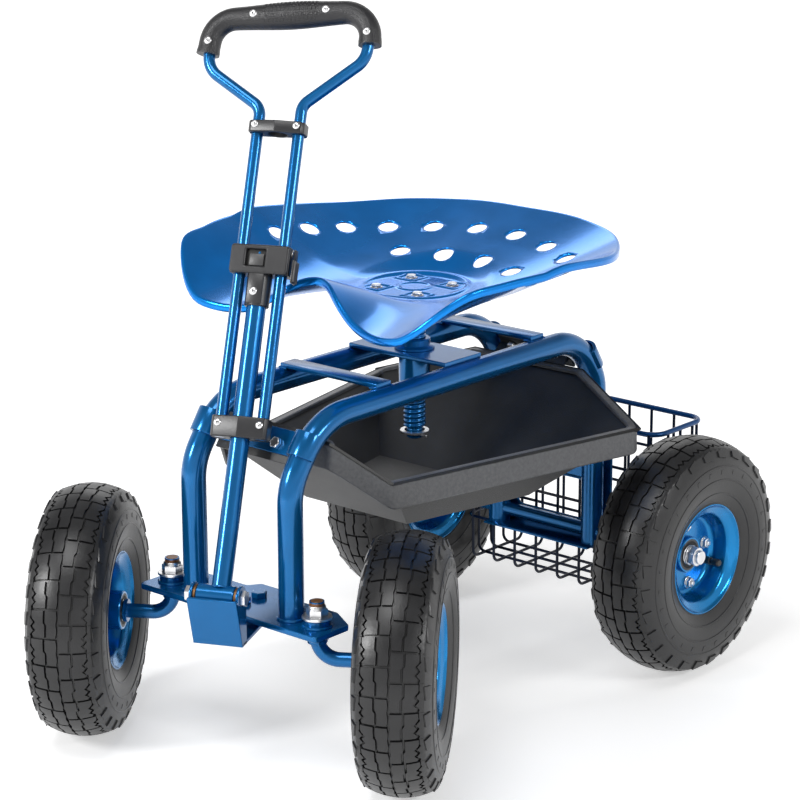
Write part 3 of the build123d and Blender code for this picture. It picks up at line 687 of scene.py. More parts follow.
def cross_brackets():
    half_width = 13
    for name, place, outward, lift in (("front", FRONT_SLOPE, -1, 6.5), ("rear", REAR_SLOPE, 1, 0)):
        strip = slab([bracket_profile(outward)], lift - half_width, lift + half_width, 0.7)
        parts = placed(place, BLUE, strip)
        for x in (-30, 30):
            spot = place @ move(x, 0, 3) @ turn("x", -90 * outward)
            bolt = (hexagon(10.5, 1.5, 6.4), rod(3.0, -12, 1.5), nut(11, -10.2, -4.8, 3.0))
            parts += placed(spot, ZINC, *bolt)
        piece(f"{name}_bracket_pressed", "frame", [f"{name}_cross_bracket"], parts)


# Front axle plate with kingpin sleeves, pivot bolt and stop bolt
def axle_plate():
    outline = with_mirror([(122, -26), (122, 22), (90, 41), (34, 41), (26, 54)])
    loop = round_loop(outline, [5, 5, 8, 6, 6, 6, 6, 8, 5, 5], 5)
    parts = placed(EYE, BLUE, slab([loop], PLATE_TOP - PLATE_T, PLATE_TOP, 1.0))
    lower = [(153.5, 7.6), (153.5, 12.4), (154.2, 13)]
    upper = [(PLATE_TOP, 13), (171.2, 13), (172, 12.2), (172, 7.6)]
    for x in (-KINGPIN_X, KINGPIN_X):
        parts += placed(move(x), BLUE, lathe(lower + upper, 44))
        for z in (PLATE_TOP + 0.8, PLATE_TOP - PLATE_T - 0.8):
            parts += placed(EYE, BLUE, weld_ring(13.4, z, 1.8, x))
    piece("axle_plate_cut", "frame", ["front_axle_plate"], parts)


def axle_plate_bolts():
    head = hexagon(BOLT_FLATS, PLATE_TOP, PLATE_TOP + 6)
    under_plate = PLATE_TOP - PLATE_T
    shank = (rod(6, 139, PLATE_TOP), rod(11, LEVER_TOP + 0.4, under_plate), nut(18, 138, 146.6, 6))
    parts = placed(EYE, BLUE, head) + placed(EYE, ZINC, *shank)
    piece("pivot_bolt_hex", "frame", ["steering_pivot_bolt"], parts)
    stop = move(0, STOP_BOLT_R, 0)
    shank = (threaded(5, 1.5, 0.5, 139, under_plate), nut(16, 138.5, LEVER_Z - 0.5, 5))
    parts = placed(stop, BLUE, head) + placed(stop, ZINC, *shank)
    piece("stop_bolt_hex", "frame", ["steering_stop_bolt"], parts)


# Steering bracket with its leaning face, ears and arc slot
BRACKET_FRONT = BARREL_Y - 18
BRACKET_FOOT = BRACKET_FRONT + FACE_SETBACK
FACE_HEIGHT = BARREL_Z + 1.5 - LEVER_Z


def lever_plate():
    right = [(EAR_X, BRACKET_FOOT), (EAR_X, -6)] + arc_points(34, -10, 71, 13)
    tail = arc_points(11, 0, 180, 13, (0, LEVER_ARM))
    left = [(-x, y) for x, y in reversed(right)]
    slot = arc_points(STOP_BOLT_R + 5.4, 59, 121, 17) + arc_points(STOP_BOLT_R - 5.4, 121, 59, 17)
    return slab([right + tail + left, slot, ring_of(24, 6.4)], LEVER_Z, LEVER_TOP, 0.7)


def steering_bracket():
    parts = placed(STEERED, BLUE, lever_plate())
    face = rounded_rect(-EAR_X, EAR_X, 0, math.hypot(FACE_SETBACK, FACE_HEIGHT), 2, 4)
    leaning = basis((0, BRACKET_FOOT, LEVER_Z), (1, 0, 0), (0, -FACE_HEIGHT, -FACE_SETBACK))
    parts += placed(STEERED @ leaning, BLUE, slab([face], -3.0, 0.0, 0.8))
    ear = [(BRACKET_FRONT + 1.0, BARREL_Z), (BRACKET_FOOT + 1.0, LEVER_Z), (BARREL_Y + 12, LEVER_Z)]
    ear += arc_points(12, 0, 180, 13, (BARREL_Y, BARREL_Z))
    sideways = basis((0, 0, 0), (0, 1, 0), (1, 0, 0))
    ears = [slab([ear], x, x + EAR_T, 0.7) for x in (-EAR_X, EAR_X - EAR_T)]
    parts += placed(STEERED @ sideways, BLUE, *ears)
    link_pin = rod(LINK_PIN_R, LINK_Z["right"] - 3, LEVER_Z)
    parts += placed(STEERED @ move(0, LEVER_ARM, 0), ZINC, link_pin)
    piece("steering_bracket_folded", "steering", ["steering_bracket"], parts)


def handle_pivot():
    cross = STEERED @ move(0, BARREL_Y, BARREL_Z) @ UP_X
    pin_r = 5
    pin = rod(pin_r, -EAR_X - 7, EAR_X)
    head = hexagon(BOLT_FLATS, EAR_X, EAR_X + 5)
    locknut = nut(BOLT_FLATS, -EAR_X - 6, -EAR_X, pin_r)
    piece("handle_pivot_hex", "steering", ["handle_pivot_bolt"], placed(cross, ZINC, pin, head, locknut))
    middle = EAR_X - EAR_T - 1.5
    bushes = [washer(10, x - 1.4, x + 1.4, pin_r) for x in (middle, -middle)]
    piece("bronze_bushes", "steering", ["pivot_bushes"], placed(cross, BRONZE, *bushes))


# Tie rods from the lever pin to the spindle arms
def arm_end(arm, degrees):
    angle = math.radians(degrees)
    return np.array([-arm * math.sin(angle), arm * math.cos(angle)])


def tie_rods():
    bar_r = 9
    for name, side in SIDES:
        start = arm_end(LEVER_ARM, LEVER_STEER)
        span = arm_end(SPINDLE_ARM, WHEEL_STEER) + (side * KINGPIN_X, 0) - start
        length = float(np.hypot(*span))
        bar = arc_points(bar_r, 90, 270, 13) + arc_points(bar_r, -90, 90, 13, (length, 0))
        holes = [ring_of(24, LINK_PIN_R + FIT), ring_of(24, LINK_PIN_R + LINK_PLAY, (length, 0))]
        place = move(*start) @ turn("z", math.degrees(math.atan2(span[1], span[0])))
        shape = slab([bar] + holes, LINK_Z[name], LINK_Z[name] + LINK_T, 0.6)
        piece(f"{name}_tie_bar", f"{name}_link", [f"{name}_tie_rod"], placed(place, ZINC, shape))


# Spindles and rear axle with their arms, collars and nuts
def axle_nut(start, end, tip):
    face = start + 2
    collar = [(end, AXLE_R), (end, 10.2), (end + 1.6, 10.2), (tip, 9.4), (tip, AXLE_R)]
    return washer(11, start, face, AXLE_R), nut(AXLE_NUT_FLATS, face, end, AXLE_R), lathe(collar, 36)


def kingpin_nut():
    collar = [(182.5, AXLE_R), (182.5, 9.2), (185.0, 8.8), (185.9, 8.0), (185.9, AXLE_R)]
    nut_shape = nut(AXLE_NUT_FLATS, 174.9, 182.5, AXLE_R)
    return washer(15, 172.4, 174.9, AXLE_R), nut_shape, lathe(collar, 36)


def spindles():
    for name, side in SIDES:
        place = KNUCKLES[name]
        hub_line = place @ move(0, 0, TYRE_R) @ (UP_X if side > 0 else UP_NEG_X)
        bend = [(0, 0, SPINDLE_TOP), (0, 0, TYRE_R), (side * (SPINDLE_END - RECESS), 0, TYRE_R)]
        bar = tube(rounded(bend, [0, SPINDLE_BEND_R, 0], 14), AXLE_R, 28)
        arm = arc_points(10, 0, 180, 13, (0, SPINDLE_ARM)) + arc_points(10, 180, 360, 13)
        parts = placed(place, BLUE, bar, slab([arm], LEVER_Z, LEVER_TOP, 0.6))
        parts += placed(hub_line, BLUE, rod(COLLAR_R, 47, 51.5))
        link_pin = rod(LINK_PIN_R, LINK_Z[name] - 3, LEVER_Z)
        parts += placed(place @ move(0, SPINDLE_ARM, 0), ZINC, link_pin)
        piece(f"{name}_spindle_bent", f"{name}_knuckle", [f"{name}_spindle"], parts)
        parts = placed(place, ZINC, *kingpin_nut())
        parts += placed(hub_line @ move(0, 0, -RECESS), ZINC, *axle_nut(124.5, 133.6, 135.8))
        parts += placed(place, AMBER, rod(7.6, 184.0, 190.3, 1.6))
        piece(f"{name}_spindle_locknuts", f"{name}_knuckle", [f"{name}_spindle_nuts"], parts)


def rear_axle():
    axle = move(0, WHEELBASE, TYRE_R)
    bare_from = 150
    parts = placed(axle @ UP_X, BLUE, rod(AXLE_R, -bare_from, bare_from))
    nuts = []
    for outward in (UP_X, UP_NEG_X):
        parts += placed(axle @ outward, BLUE, rod(COLLAR_R, 148, 153))
        parts += placed(axle @ outward, ZINC, rod(AXLE_R, bare_from, REAR_AXLE_END - RECESS))
        thread = threaded(7.6, 1.75, 0.6, 237, 240.8)
        nuts += placed(axle @ outward @ move(0, 0, -RECESS), ZINC, *axle_nut(226, 235, 237), thread)
    piece("rear_axle_turned", "frame", ["rear_axle"], parts)
    piece("rear_locknuts", "frame", ["rear_axle_nuts"], nuts)


# Rear panel with its window and foot flange
def rear_panel():
    bottom = LEG_END - PANEL_T
    window = rounded_rect(*WINDOW, 9)
    panel = slab([rounded_rect(-PANEL_X, PANEL_X, bottom, PANEL_TOP, 8), window], 0, PANEL_T, 0.8)
    foot = block(-74, 74, WHEELBASE - 20, PANEL_Y + 1, bottom, LEG_END, 0.8)
    lip = bead([(x, PANEL_Y - 0.2, z) for x, z in window], 1.6, True)
    parts = placed(basis((0, PANEL_Y + PANEL_T, 0), (1, 0, 0), (0, -1, 0)), BLUE, panel)
    piece("rear_panel_pressed", "frame", ["rear_panel"], parts + placed(EYE, BLUE, foot, lip))


# Tool tray: flat floor, sloping walls, rolled lip, and tabs on the cross brackets
FLOOR_Z = 219.0
FLOOR_FRONT = 169.0
FLOOR_REAR = 325.0
FLOOR_FRONT_X = 70.0
FLOOR_REAR_X = 105.0
FRONT_RISE = 0.922
REAR_RISE = 0.774
LIP_Z = 287.0
LIP_DROP = 26.0
LIP_REAR_X = 186.0
LIP_FRONT = FLOOR_FRONT - (LIP_Z - FLOOR_Z) / FRONT_RISE
LIP_REAR = FLOOR_REAR + (LIP_Z - FLOOR_Z) / REAR_RISE
FLARE = (FLOOR_REAR_X - FLOOR_FRONT_X) / (FLOOR_REAR - FLOOR_FRONT)
LIP_FRONT_X = LIP_REAR_X - FLARE * (LIP_REAR - LIP_FRONT)
END_X = 76.0
TAB_X = 48.0
INSIDE_TRAY = (0, 250, 300)


def tray_point(x, y):
    front = FRONT_RISE * max(0.0, FLOOR_FRONT - y)
    rear = REAR_RISE * max(0.0, y - FLOOR_REAR)
    return (x, y, FLOOR_Z + front + rear)


def both_sides(points):
    return points + [(-x, y, z) for x, y, z in reversed(points)]


def sheet(points, thick=3.0):
    p = np.array(points, float)
    normal = unit(np.cross(p, np.roll(p, -1, 0)).sum(0))
    if normal.dot(INSIDE_TRAY - p.mean(0)) < 0:
        normal = -normal
    return capped([p, p + normal * thick])


def lip_shape(corners, radius):
    path = rounded(corners, [radius] * len(corners), 8, True)
    along = np.roll(path, -1, 0) - np.roll(path, 1, 0)
    out = unit(np.cross(along, (0, 0, 1)))
    out *= np.sign((out * (path - INSIDE_TRAY)).sum())
    top = [(-3.6, -4.0), (-11, -2.5), (-11, 0.6), (-10, 1.6), (-4.2, 1.9), (-1.8, 1.0), (-0.4, -1.2)]
    hem = [(0.3, 1.6), (-0.4, 0.4), (-1.8, 0.0), (-3.0, 1.0)]
    profile = top + [(a, b - LIP_DROP) for a, b in hem]
    v = np.concatenate([[p + a * o + (0, 0, b) for a, b in profile] for p, o in zip(path, out)])
    return v, grid_faces(len(path), len(profile), True, True)


def tool_tray():
    floor_front = tray_point(FLOOR_FRONT_X, FLOOR_FRONT)
    floor_rear = tray_point(FLOOR_REAR_X, FLOOR_REAR)
    lip_front = tray_point(LIP_FRONT_X, LIP_FRONT)
    lip_rear = tray_point(LIP_REAR_X, LIP_REAR)
    end_front = tray_point(END_X, 46.0)
    end_rear = tray_point(END_X, 458.0)
    side = [floor_front, floor_rear, lip_rear, lip_front]
    sheets = [
        both_sides([floor_front, floor_rear]),
        both_sides([floor_front, lip_front, end_front]),
        both_sides([floor_rear, lip_rear, end_rear]),
        side,
        [(-x, y, z) for x, y, z in side],
        both_sides([tray_point(TAB_X, 50.0), tray_point(TAB_X, 34.0)]),
        both_sides([tray_point(TAB_X, 454.0), tray_point(TAB_X, 469.0)]),
    ]
    rim = both_sides([end_front, lip_front, lip_rear, end_rear])
    parts = placed(EYE, TRAY, *[sheet(points) for points in sheets])
    # The rolled lip takes the lighter copy of the tray plastic, a painted sheen
    parts += placed(EYE, TRAY_LIP_SHEEN, lip_shape(rim, 16))
    parts += placed(FRONT_SLOPE, TRAY, block(-TAB_X, TAB_X, 1.6, 4.6, -14, 21, 0.6))
    parts += placed(REAR_SLOPE, TRAY, block(-TAB_X, TAB_X, -4.6, -1.6, -14, 14, 0.6))
    piece("tray_moulded", "frame", ["tool_tray"], parts, 25)


# Wire basket hooked on the rear panel
BASKET_X = 134.0
BASKET_FRONT = 513.0
BASKET_BACK = 605.0
BASKET_TOP = 246.0
WIRE_R = 1.75
BASKET_FLOOR = 48.0 + WIRE_R
WIRE_LEVELS = (100.0, 150.0, 200.0)
WIRE_COLUMNS = [31.0 * i for i in range(-4, 5)]
WIRE_DEPTHS = [BASKET_FRONT + (BASKET_BACK - BASKET_FRONT) * i / 4 for i in range(1, 4)]


def wire(points, bend=0):
    return tube(rounded(points, [bend] * len(points), 6), WIRE_R, 10)


def basket_rim():
    outline = rounded_rect(-BASKET_X, BASKET_X, BASKET_FRONT, BASKET_BACK, 18, 8)
    rim = [(x, y, BASKET_TOP) for x, y in outline]
    top = 263.8
    end_y = PANEL_Y - 3.2
    line = [(BASKET_FRONT, BASKET_TOP + 2), (BASKET_FRONT, top), (end_y, top), (end_y, BASKET_TOP)]
    hooks = [rounded([(x, y, z) for y, z in line], [0, 2.5, 2.5, 0], 5) for x in (-46.5, 46.5)]
    parts = placed(EYE, WIRE_BLUE, tube(rim, 3.0, 14, True))
    parts += placed(EYE, NAVY, *[bead(hook, 1.6) for hook in hooks])
    piece("basket_rim_wire", "frame", ["basket_rim"], parts)


def basket_grilles():
    low = BASKET_FLOOR
    walls = []
    for y, inward in ((BASKET_FRONT, 1), (BASKET_BACK, -1)):
        foot = y + inward * 40
        walls += [wire([(x, y, BASKET_TOP), (x, y, low), (x, foot, low)], 9) for x in WIRE_COLUMNS]
        walls += [wire([(14 - BASKET_X, y, z), (BASKET_X - 14, y, z)]) for z in WIRE_LEVELS]
    piece("basket_long_wires", "frame", ["basket_long_grilles"], placed(EYE, NAVY, *walls))
    ends = []
    for x, inward in ((-BASKET_X, 1), (BASKET_X, -1)):
        foot = x + inward * 40
        ends += [wire([(x, y, BASKET_TOP), (x, y, low), (foot, y, low)], 9) for y in WIRE_DEPTHS]
        turn_x = x + inward * 16
        bend = [(turn_x, BASKET_FRONT), (x, BASKET_FRONT), (x, BASKET_BACK), (turn_x, BASKET_BACK)]
        ends += [wire([(at, y, z) for at, y in bend], 12) for z in WIRE_LEVELS]
    piece("basket_end_wires", "frame", ["basket_end_grilles"], placed(EYE, NAVY, *ends))
    floor = [wire([(9 - BASKET_X, y, low), (BASKET_X - 9, y, low)]) for y in WIRE_DEPTHS]
    floor += [wire([(x, BASKET_FRONT + 9, low), (x, BASKET_BACK - 9, low)]) for x in WIRE_COLUMNS]
    piece("basket_floor_wires", "frame", ["basket_floor"], placed(EYE, NAVY, *floor))


# Handle: tube on its barrel, clamps, latch, two bent rods and the grip
HANDLE_FRONT = HANDLE @ FACING_FRONT


def handle_tube():
    barrel = lathe([(-19, 5.1), (-19, 10.2), (-18.2, 11), (18.2, 11), (19, 10.2), (19, 5.1)], 44)
    cross = HANDLE @ move(-HANDLE_OFFSET) @ UP_X
    piece("barrel_welded", "handle", ["pivot_barrel"], placed(cross, BLUE, barrel))
    drawn = tube([(0, 0, z) for z in (9.0, 60, 200, 340)], HANDLE_TUBE_R, 32)
    weld = weld_ring(9.6, 9.0, 0.9, n=36)
    piece("handle_tube_drawn", "handle", ["handle_tube"], placed(HANDLE, BLUE, drawn, weld))


def rod_holes(r):
    return [ring_of(24, r, (x, 0)) for x in (-ROD_SPACING, ROD_SPACING)]


def clamp_shape(middle, half):
    rear = [(29, 7), (26, 10.5), (-26, 10.5), (-29, 7)]
    front = [(-29, -7), (-26, -10.5), (0, -14), (26, -10.5), (29, -7)]
    outline = round_loop(rear + front, [2.5] * 6 + [3, 2.5, 2.5], 4)
    loops = [outline, ring_of(32, HANDLE_TUBE_R + FIT)] + rod_holes(ROD_R)
    return slab(loops, middle - half, middle + half, 1.2)


def clamps():
    for name, middle, half in (("lower", 165, 10.5), ("upper", 467, 6)):
        clamp = placed(HANDLE, BLACK, clamp_shape(middle, half))
        piece(f"{name}_clamp_moulded", "grip", [f"{name}_clamp"], clamp)


def screw(spot, r):
    head = lathe([(-2.2, 0), (-2.2, r), (0.4, r), (1.2, r * 0.8), (1.5, r * 0.45), (1.5, 0)], 28)
    long = r * 0.42
    # The near-black cross is painted shade in the screw slots
    slots = (block(-long, long, -0.32, 0.32, 1.0, 1.56, 0), block(-0.32, 0.32, -long, long, 1.0, 1.56, 0))
    return placed(spot, ZINC, head) + placed(spot, SEAL_AND_SHADE_BLACK, *slots)


def latch_block():
    x0 = -29
    x1 = 31
    back = round_loop([(x0, -9.5), (x1, -9.5), (x1, 13), (x0, 13)], [1, 1, 5, 5], 6)
    cheeks = rounded_rect(x0, x1, LATCH_T - 14.5, LATCH_T + 14.5, 3.5, 5)
    opening = rounded_rect(-13, 7, LATCH_T - 7, LATCH_T + 10, 1.2)
    skirt = lathe([(286, 9.75), (286, 11.4), (287, 12.2), (322, 12.4), (322, 9.75)], 40)
    shell = slab([back] + rod_holes(ROD_R + FIT), LATCH_T - 14, LATCH_T + 14, 0.6)
    parts = placed(HANDLE, BLACK, shell, skirt)
    parts += placed(HANDLE_FRONT, BLACK, slab([cheeks, opening], 9.2, 13.8, 2.0))
    parts += placed(HANDLE_FRONT, BLACK, block(-8.0, 8.0, 287.5, 320, 10.5, 12.4, 1.0))
    # Painted shade: a near-black sheet on the floor of the recess behind the latch window
    parts += placed(HANDLE_FRONT, SEAL_AND_SHADE_BLACK, block(-13, 7, LATCH_T - 7, LATCH_T + 10, 8.6, 9.6, 0.2))
    parts += placed(HANDLE_FRONT, GREY, block(-9.5, 5.5, LATCH_T - 6.5, LATCH_T + 5.5, 9.4, 11.6, 0.8))
    parts += screw(HANDLE @ move(-1.5, -12.0, 300) @ FACING_FRONT, 4.0)
    piece("latch_block_moulded", "handle", ["latch_block"], parts)


def latch():
    spot = HANDLE @ move(0, 0, LATCH_T + 9) @ UP_X
    piece("latch_pin_turned", "handle", ["latch_pin"], placed(spot, ZINC, rod(3.94, 28, 32)))
    blade = block(33.3, 36.2, -8.5, 3.5, LATCH_T - 21, LATCH_T + 2, 1.0)
    root = block(33.3, 35.0, -4.5, 4.5, LATCH_T - 4, LATCH_T + 13, 0.6)
    ribs = [block(35.8, 37.8, y - 1.1, y + 1.1, LATCH_T - 20, LATCH_T + 1, 0.6) for y in (-7.0, -2.5, 2.0)]
    parts = placed(HANDLE, BLACK, blade, root) + placed(HANDLE, GREY, *ribs)
    piece("latch_lever_ribbed", "latch", ["latch_lever"], parts)


def askew(x, t):
    return (x, 0, t + GRIP_RISE * x)


def handle_rods():
    for name, side in SIDES:
        bends = [askew(side * x, t) for x, t in ((ROD_SPACING, 490), (81, 533), (83.5, 562))]
        path = rounded([(side * ROD_SPACING, 0, 155)] + bends, [0, 16, 24, 0], 12)
        bent = placed(HANDLE, BLUE, tube(path, ROD_R, 24))
        piece(f"{name}_rod_bent", "grip", [f"{name}_handle_rod"], bent)


def grip_radius(x):
    return GRIP_R + 2.8 * math.exp(-((x / 42.0) ** 2))


def grip_path():
    corners = [askew(x, t) for x, t in ((-84, 548), (-81, GRIP_T), (81, GRIP_T), (84, 548))]
    bent = rounded(corners, [0, 27, 27, 0], 16)
    path = []
    for a, b in zip(bent[:-1], bent[1:]):
        steps = max(1, int(np.linalg.norm(b - a) / 3))
        path += [a + (b - a) * k / steps for k in range(steps)]
    return np.array(path + [bent[-1]])


def grip_shape(facing):
    path = grip_path()
    depth = np.array([0.0, facing, 0.0])
    around = np.linspace(0, math.pi, 17)[:, None]
    rings = []
    for i, (p, d) in enumerate(zip(path, unit(np.gradient(path, axis=0)))):
        collar = 0.5 if min(i, len(path) - 1 - i) < 2 else 0.0
        r = grip_radius(p[0]) + collar
        rings.append(p + r * (np.cos(around) * np.cross(d, depth) + np.sin(around) * depth) + depth * 0.12)
    return capped(rings)


def grip_pads():
    parts = []
    for x in range(-26, 30, 4):
        r = grip_radius(x)
        for k in range(5):
            angle = 35 + 22 * k
            spot = askew(x + 2 * (k % 2), GRIP_T)
            place = HANDLE @ move(*spot) @ turn("x", angle) @ move(0, 0, r)
            parts += placed(place, GRIP, block(-1.3, 1.3, -1.6, 1.6, -0.5, 0.5, 0.3, 1))
    return parts


def grip():
    front = placed(HANDLE, GRIP, grip_shape(-1.0)) + grip_pads()
    piece("grip_front_half", "grip", ["grip_front"], front)
    piece("grip_rear_half", "grip", ["grip_rear"], placed(HANDLE, GRIP, grip_shape(1.0)))
    parts = []
    for x in (-ROD_SPACING, ROD_SPACING):
        for t in (168, 468.5):
            parts += screw(HANDLE @ move(x, -11.6, t) @ FACING_FRONT, 3.6)
    for t, out, spread in ((560, 11.0, 82), (GRIP_T + 1, 12.3, 37.5)):
        for x in (-spread, spread):
            parts += screw(HANDLE @ move(*askew(x, t)) @ move(0, -out) @ FACING_FRONT, 3.8)
    piece("handle_screw_heads", "grip", ["handle_screws"], parts)


# Seat post, washer, split pin and mounting plate
def seat_post():
    thread = threaded(POST_R - 0.1, 5.0, 1.1, 290, THREAD_END, 40)
    post = placed(POST, BLUE, thread, rod(POST_R - 0.2, THREAD_END, 431), rod(8.4, 277, 291, 1.2))
    piece("post_threaded", "post", ["seat_post"], post)
    piece("post_washer_flat", "post", ["post_washer"], placed(POST, ZINC, washer(15.5, 283, 285.5, 11)))
    pin = [(17, 0, 281), (-10, 0, 281), (-17, 0, 283.5), (-20, 0, 280), (-17, 0, 278), (-10, 0, 280.4)]
    split_pin = bead(rounded(pin, [0, 3, 2, 2, 2, 0], 5), 1.3)
    piece("post_split_pin", "post", ["post_pin"], placed(POST, ZINC, split_pin))


def seat_plate():
    plate_z = 433.3
    plate = slab([rounded_rect(-42, 42, -42, 42, 8)], plate_z, plate_z + 4, 0.8)
    sleeve = lathe([(404, POST_R), (404, 17.2), (404.8, 18), (plate_z, 18), (plate_z, POST_R)], 44)
    weld = weld_ring(18.3, plate_z - 0.8, 1.8)
    piece("seat_plate_welded", "seat", ["seat_plate"], placed(POST, BLUE, plate, sleeve, weld))


# Seat pan: dished pressing with a turned-down rim, waisted and raised at the sides
PAN_HALF = [(0, 186), (78, 181), (148, 146), (203, 77), (231, 5), (229, -56), (210, -103), (190, -149),
            (141, -181), (75, -169), (39, -160)]
PAN_NOSE = (0, -145)
RIM_ROLL = [(1.0, 0.1), (2.1, 0.8), (2.8, 2.2), (3.0, 4.5), (3.0, 7.6), (2.2, 8.4), (1.2, 7.6), (0.9, 4.6),
            (0.0, 2.8)]
HOLE_R = 11


def waist(v):
    return np.exp(-(((v + 22) / 85) ** 2))


def narrowing(v):
    return 1 + WAIST * waist(v)


def pan_height(u, v):
    rise = SIDE_RISE * waist(v) * smooth((np.abs(u) - 100) / 110)
    u = u * narrowing(v)
    side = 45 * np.clip((np.abs(u) - 40) / 190, 0, 2) ** 2.15
    back = 47 * np.clip((v + 10) / 175, 0, 2) ** 1.35
    bowl = (side ** 1.1 + back ** 1.1) ** (1 / 1.1)
    ridge = 36 * np.exp(-((u / 50) ** 2)) * np.clip((-v - 30) / 115, 0, 2) ** 1.17
    spread = 1 - np.exp(-(np.clip((np.abs(u) - 130) / 76, 0, 2) ** 2))
    wing = 50 * spread * np.clip((-v - 50) / 100, 0, 2) ** 1.3
    fall = 5.5 * np.clip((-v - 60) / 105, 0, 2) ** 2 * (1 - np.exp(-((u / 70) ** 2)))
    return (bowl + ridge + wing - fall + rise) * smooth((np.hypot(u, v) - 44) / 46)


def ripple(u, v):
    r = np.hypot(u, v)
    rings = 2.0 * np.exp(-((r - 55) / 3.2) ** 2) + 1.4 * np.exp(-((r - 17) / 2.2) ** 2)
    pad = np.maximum(np.abs(np.abs(u) - SEAT_BOLT), np.abs(np.abs(v) - SEAT_BOLT))
    return np.maximum(rings, 1.7 * np.exp(-((pad - 11.5) / 2.0) ** 2))


def closed_curve(pts, per):
    t = np.arange(per)[:, None] / per
    out = []
    for p0, p1, p2, p3 in zip(np.roll(pts, 1, 0), pts, np.roll(pts, -1, 0), np.roll(pts, -2, 0)):
        square = (2 * p0 - 5 * p1 + 4 * p2 - p3) * t ** 2
        cube = (3 * p1 - p0 - 3 * p2 + p3) * t ** 3
        out.append(0.5 * (2 * p1 + (p2 - p0) * t + square + cube))
    return np.concatenate(out)


def pan_outline():
    corners = PAN_HALF + [PAN_NOSE] + [(-u, v) for u, v in reversed(PAN_HALF[1:])]
    outline = np.array(corners, float)
    outline[:, 0] /= narrowing(outline[:, 1])
    return closed_curve(outline, 9)


def pan_shape():
    curve = pan_outline()
    along = np.roll(curve, -1, 0) - np.roll(curve, 1, 0)
    normal = unit(along[:, ::-1] * (1, -1))
    normal *= np.sign((normal * curve).sum())
    levels = np.concatenate([np.linspace(0.02, 0.4, 64), np.linspace(0.42, 0.97, 26), [0.99, 1.0]])
    skins = []
    for s in levels:
        u, v = (curve * s).T
        skins.append(np.column_stack([u, v, pan_height(u, v) + ripple(u, v)]))
    edge = pan_height(*curve.T)
    roll = [np.column_stack([curve + normal * out, edge - down]) for out, down in RIM_ROLL]
    under = [ring - (0, 0, PAN_T) for ring in skins[-2::-1]]
    return capped(skins + roll + under)


def pan_spot(u, v):
    e = 1.0
    slope_u = (pan_height(u + e, v) - pan_height(u - e, v)) / (2 * e)
    slope_v = (pan_height(u, v + e) - pan_height(u, v - e)) / (2 * e)
    return basis((u, v, pan_height(u, v)), (1, 0, 0), (-slope_u, -slope_v, 1))


def hole_spots():
    spots = []
    for count, step, half_width, depth in ((12, 16, 192, 163), (4, 20.5, 154, 107)):
        for i in range(count):
            angle = math.radians(90 + (i - (count - 1) / 2) * step)
            v = depth * math.sin(angle) - 26.5
            spots.append((half_width * math.cos(angle) / narrowing(v), v))
    return spots


def seat_pan():
    pan = piece("seat_pan_pressed", "seat", ["seat_pan"], placed(SEAT, SEAT_BLUE, pan_shape()), 50)
    punches = [(rod(HOLE_R, -14, 14, 0.1), SEAT @ pan_spot(u, v), SEAT_BLUE) for u, v in hole_spots()]
    punch = piece("hole_cutters", "seat", [], punches, 60)
    boolean = pan.modifiers.new("holes", "BOOLEAN")
    boolean.operation = "DIFFERENCE"
    boolean.solver = "EXACT"
    boolean.object = punch
    cut = bpy.data.meshes.new_from_object(pan.evaluated_get(bpy.context.evaluated_depsgraph_get()))
    pan.modifiers.clear()
    pan.data = cut
    bpy.data.objects.remove(punch)


def seat_bolts():
    bolt = (washer(6.6, 0.1, 1.0, 3), hexagon(9.5, 1.0, 3.8), rod(3.4, -14, 0.2), nut(12, -13.5, -7.9, 3.4))
    parts = []
    for u in (-SEAT_BOLT, SEAT_BOLT):
        for v in (-SEAT_BOLT, SEAT_BOLT):
            parts += placed(SEAT @ move(u, v, 0), ZINC, *bolt)
    piece("seat_bolts_hex", "seat", [], parts)


# The whole cart
wheels()
frame_tubes()
flat_bars()
seat_socket()
cross_brackets()
axle_plate()
axle_plate_bolts()
steering_bracket()
handle_pivot()
tie_rods()
spindles()
rear_axle()
rear_panel()
tool_tray()
basket_rim()
basket_grilles()
handle_tube()
clamps()
latch_block()
latch()
handle_rods()
grip()
seat_post()
seat_plate()
seat_pan()
seat_bolts()

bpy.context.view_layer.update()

# Stage, in metres: white to the camera and round the horizon, with a darker ceiling for the paint to reflect
WHITE = (1, 1, 1, 1)
AMBIENT = 0.18
CEILING = 0.3
FLOOR_HALF = 8


def product(nt, a, b):
    return new_node(nt, "Math", {0: a, 1: b}, "MULTIPLY")["Value"]


def brightest(nt, value, *others):
    for other in others:
        value = new_node(nt, "Math", {0: value, 1: other}, "MAXIMUM")["Value"]
    return value


def map_range(nt, value, first, last, start, end):
    inputs = {"Value": value, "From Min": first, "From Max": last, "To Min": start, "To Max": end}
    return new_node(nt, "MapRange", inputs)["Result"]


def studio_world():
    world = bpy.data.worlds.new("studio")
    world.use_nodes = True
    scene.world = world
    nt = world.node_tree
    back = nt.nodes["Background"].inputs
    back["Color"].default_value = WHITE
    direction = new_node(nt, "TexCoord", {})["Generated"]
    height = new_node(nt, "SeparateXYZ", {"Vector": direction})["Z"]
    ceiling = map_range(nt, height, 0.3, 0.6, 1.0, CEILING)
    ray = new_node(nt, "LightPath", {})
    reflected = product(nt, ray["Is Glossy Ray"], ceiling)
    white = brightest(nt, ray["Is Camera Ray"], ray["Is Transmission Ray"], reflected, AMBIENT)
    nt.links.new(white, back["Strength"])


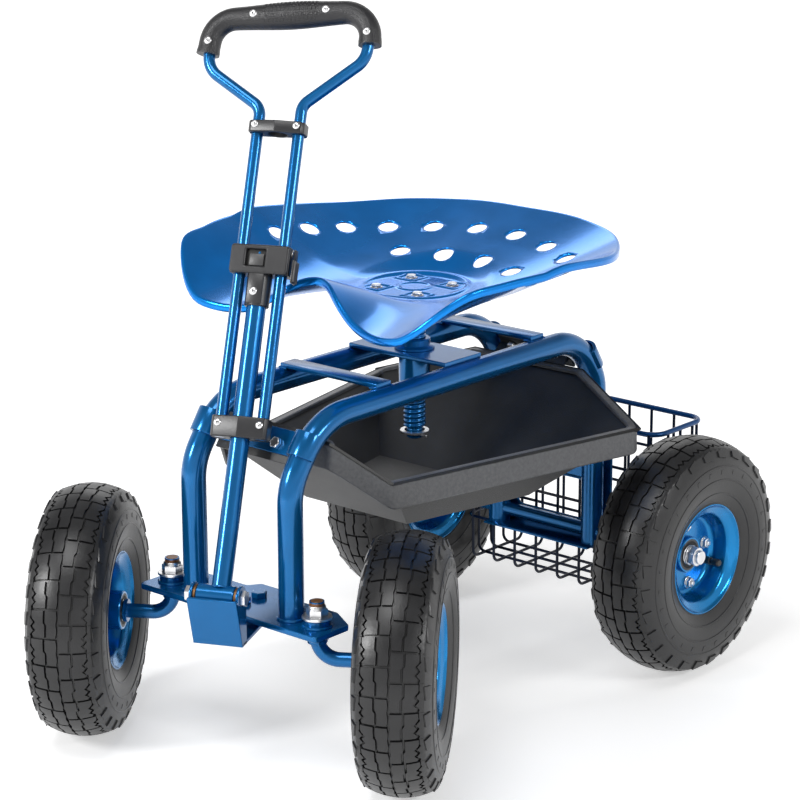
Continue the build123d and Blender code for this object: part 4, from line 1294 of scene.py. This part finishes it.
def studio_floor():
    mesh = bpy.data.meshes.new("floor")
    outline = rounded_rect(-FLOOR_HALF, FLOOR_HALF, -FLOOR_HALF, FLOOR_HALF, 0)
    mesh.from_pydata([(x, y, 0) for x, y in outline], [], [(0, 1, 2, 3)])
    ground = bpy.data.objects.new("floor", mesh)
    scene.collection.objects.link(ground)
    pale = material("studio_floor", (0.9, 0.9, 0.9), 0.6, vary=(0.01, 3))
    nt = pale.node_tree
    shader = nt.nodes["Principled BSDF"].inputs
    position = new_node(nt, "NewGeometry", {})["Position"]
    reach = new_node(nt, "VectorMath", {0: position}, "LENGTH")["Value"]
    glow = map_range(nt, reach, 0.3, 2.2, 0.5, 0.95)
    ray = new_node(nt, "LightPath", {})
    white = brightest(nt, ray["Is Camera Ray"], ray["Is Transmission Ray"], ray["Is Glossy Ray"])
    shader["Emission Color"].default_value = WHITE
    nt.links.new(product(nt, glow, white), shader["Emission Strength"])
    mesh.materials.append(pale)


def light(name, place, target, size, power):
    data = bpy.data.lights.new(name, "AREA")
    data.shape = "RECTANGLE"
    data.size, data.size_y = size
    data.energy = power
    ob = bpy.data.objects.new(name, data)
    scene.collection.objects.link(ob)
    ob.matrix_world = Matrix(basis(place, (1, 0.01, 0), np.subtract(place, target)).tolist())
    ob.visible_camera = False


# Camera, as fitted to the photo
IMAGE_PX = 800.0
FOCAL_PX = 2703.09
SENSOR = 36.0
CAMERA_PLACE = (1.78052, -1.81451 - CENTRE_Y / 1000, 1.09269)
CAMERA_AZIMUTH = 40.92
CAMERA_PITCH = 15.82
CAMERA_ROLL = -0.18


def photo_camera():
    data = bpy.data.cameras.new("camera")
    data.sensor_width = SENSOR
    data.lens = SENSOR * FOCAL_PX / IMAGE_PX
    data.clip_end = 50.0
    ob = bpy.data.objects.new("camera", data)
    scene.collection.objects.link(ob)
    aim = turn("z", CAMERA_AZIMUTH) @ turn("x", 90 - CAMERA_PITCH) @ turn("z", CAMERA_ROLL)
    ob.matrix_world = Matrix((move(*CAMERA_PLACE) @ aim).tolist())
    scene.camera = ob


studio_world()
studio_floor()
light("key", (-1.0, -3.1, 1.9), (0, 0, 0.3), (0.6, 0.9), 70)
light("right", (2.8, 0.2, 1.7), (0, 0, 0.3), (0.3, 1.4), 28)
light("top", (0.2, -1.4, 3.0), (0, 0, 0.3), (1.3, 1.3), 34)
light("back", (-1.9, 2.2, 1.9), (0, 0, 0.45), (1.5, 0.7), 6)
photo_camera()
scene.view_settings.view_transform = "Standard"
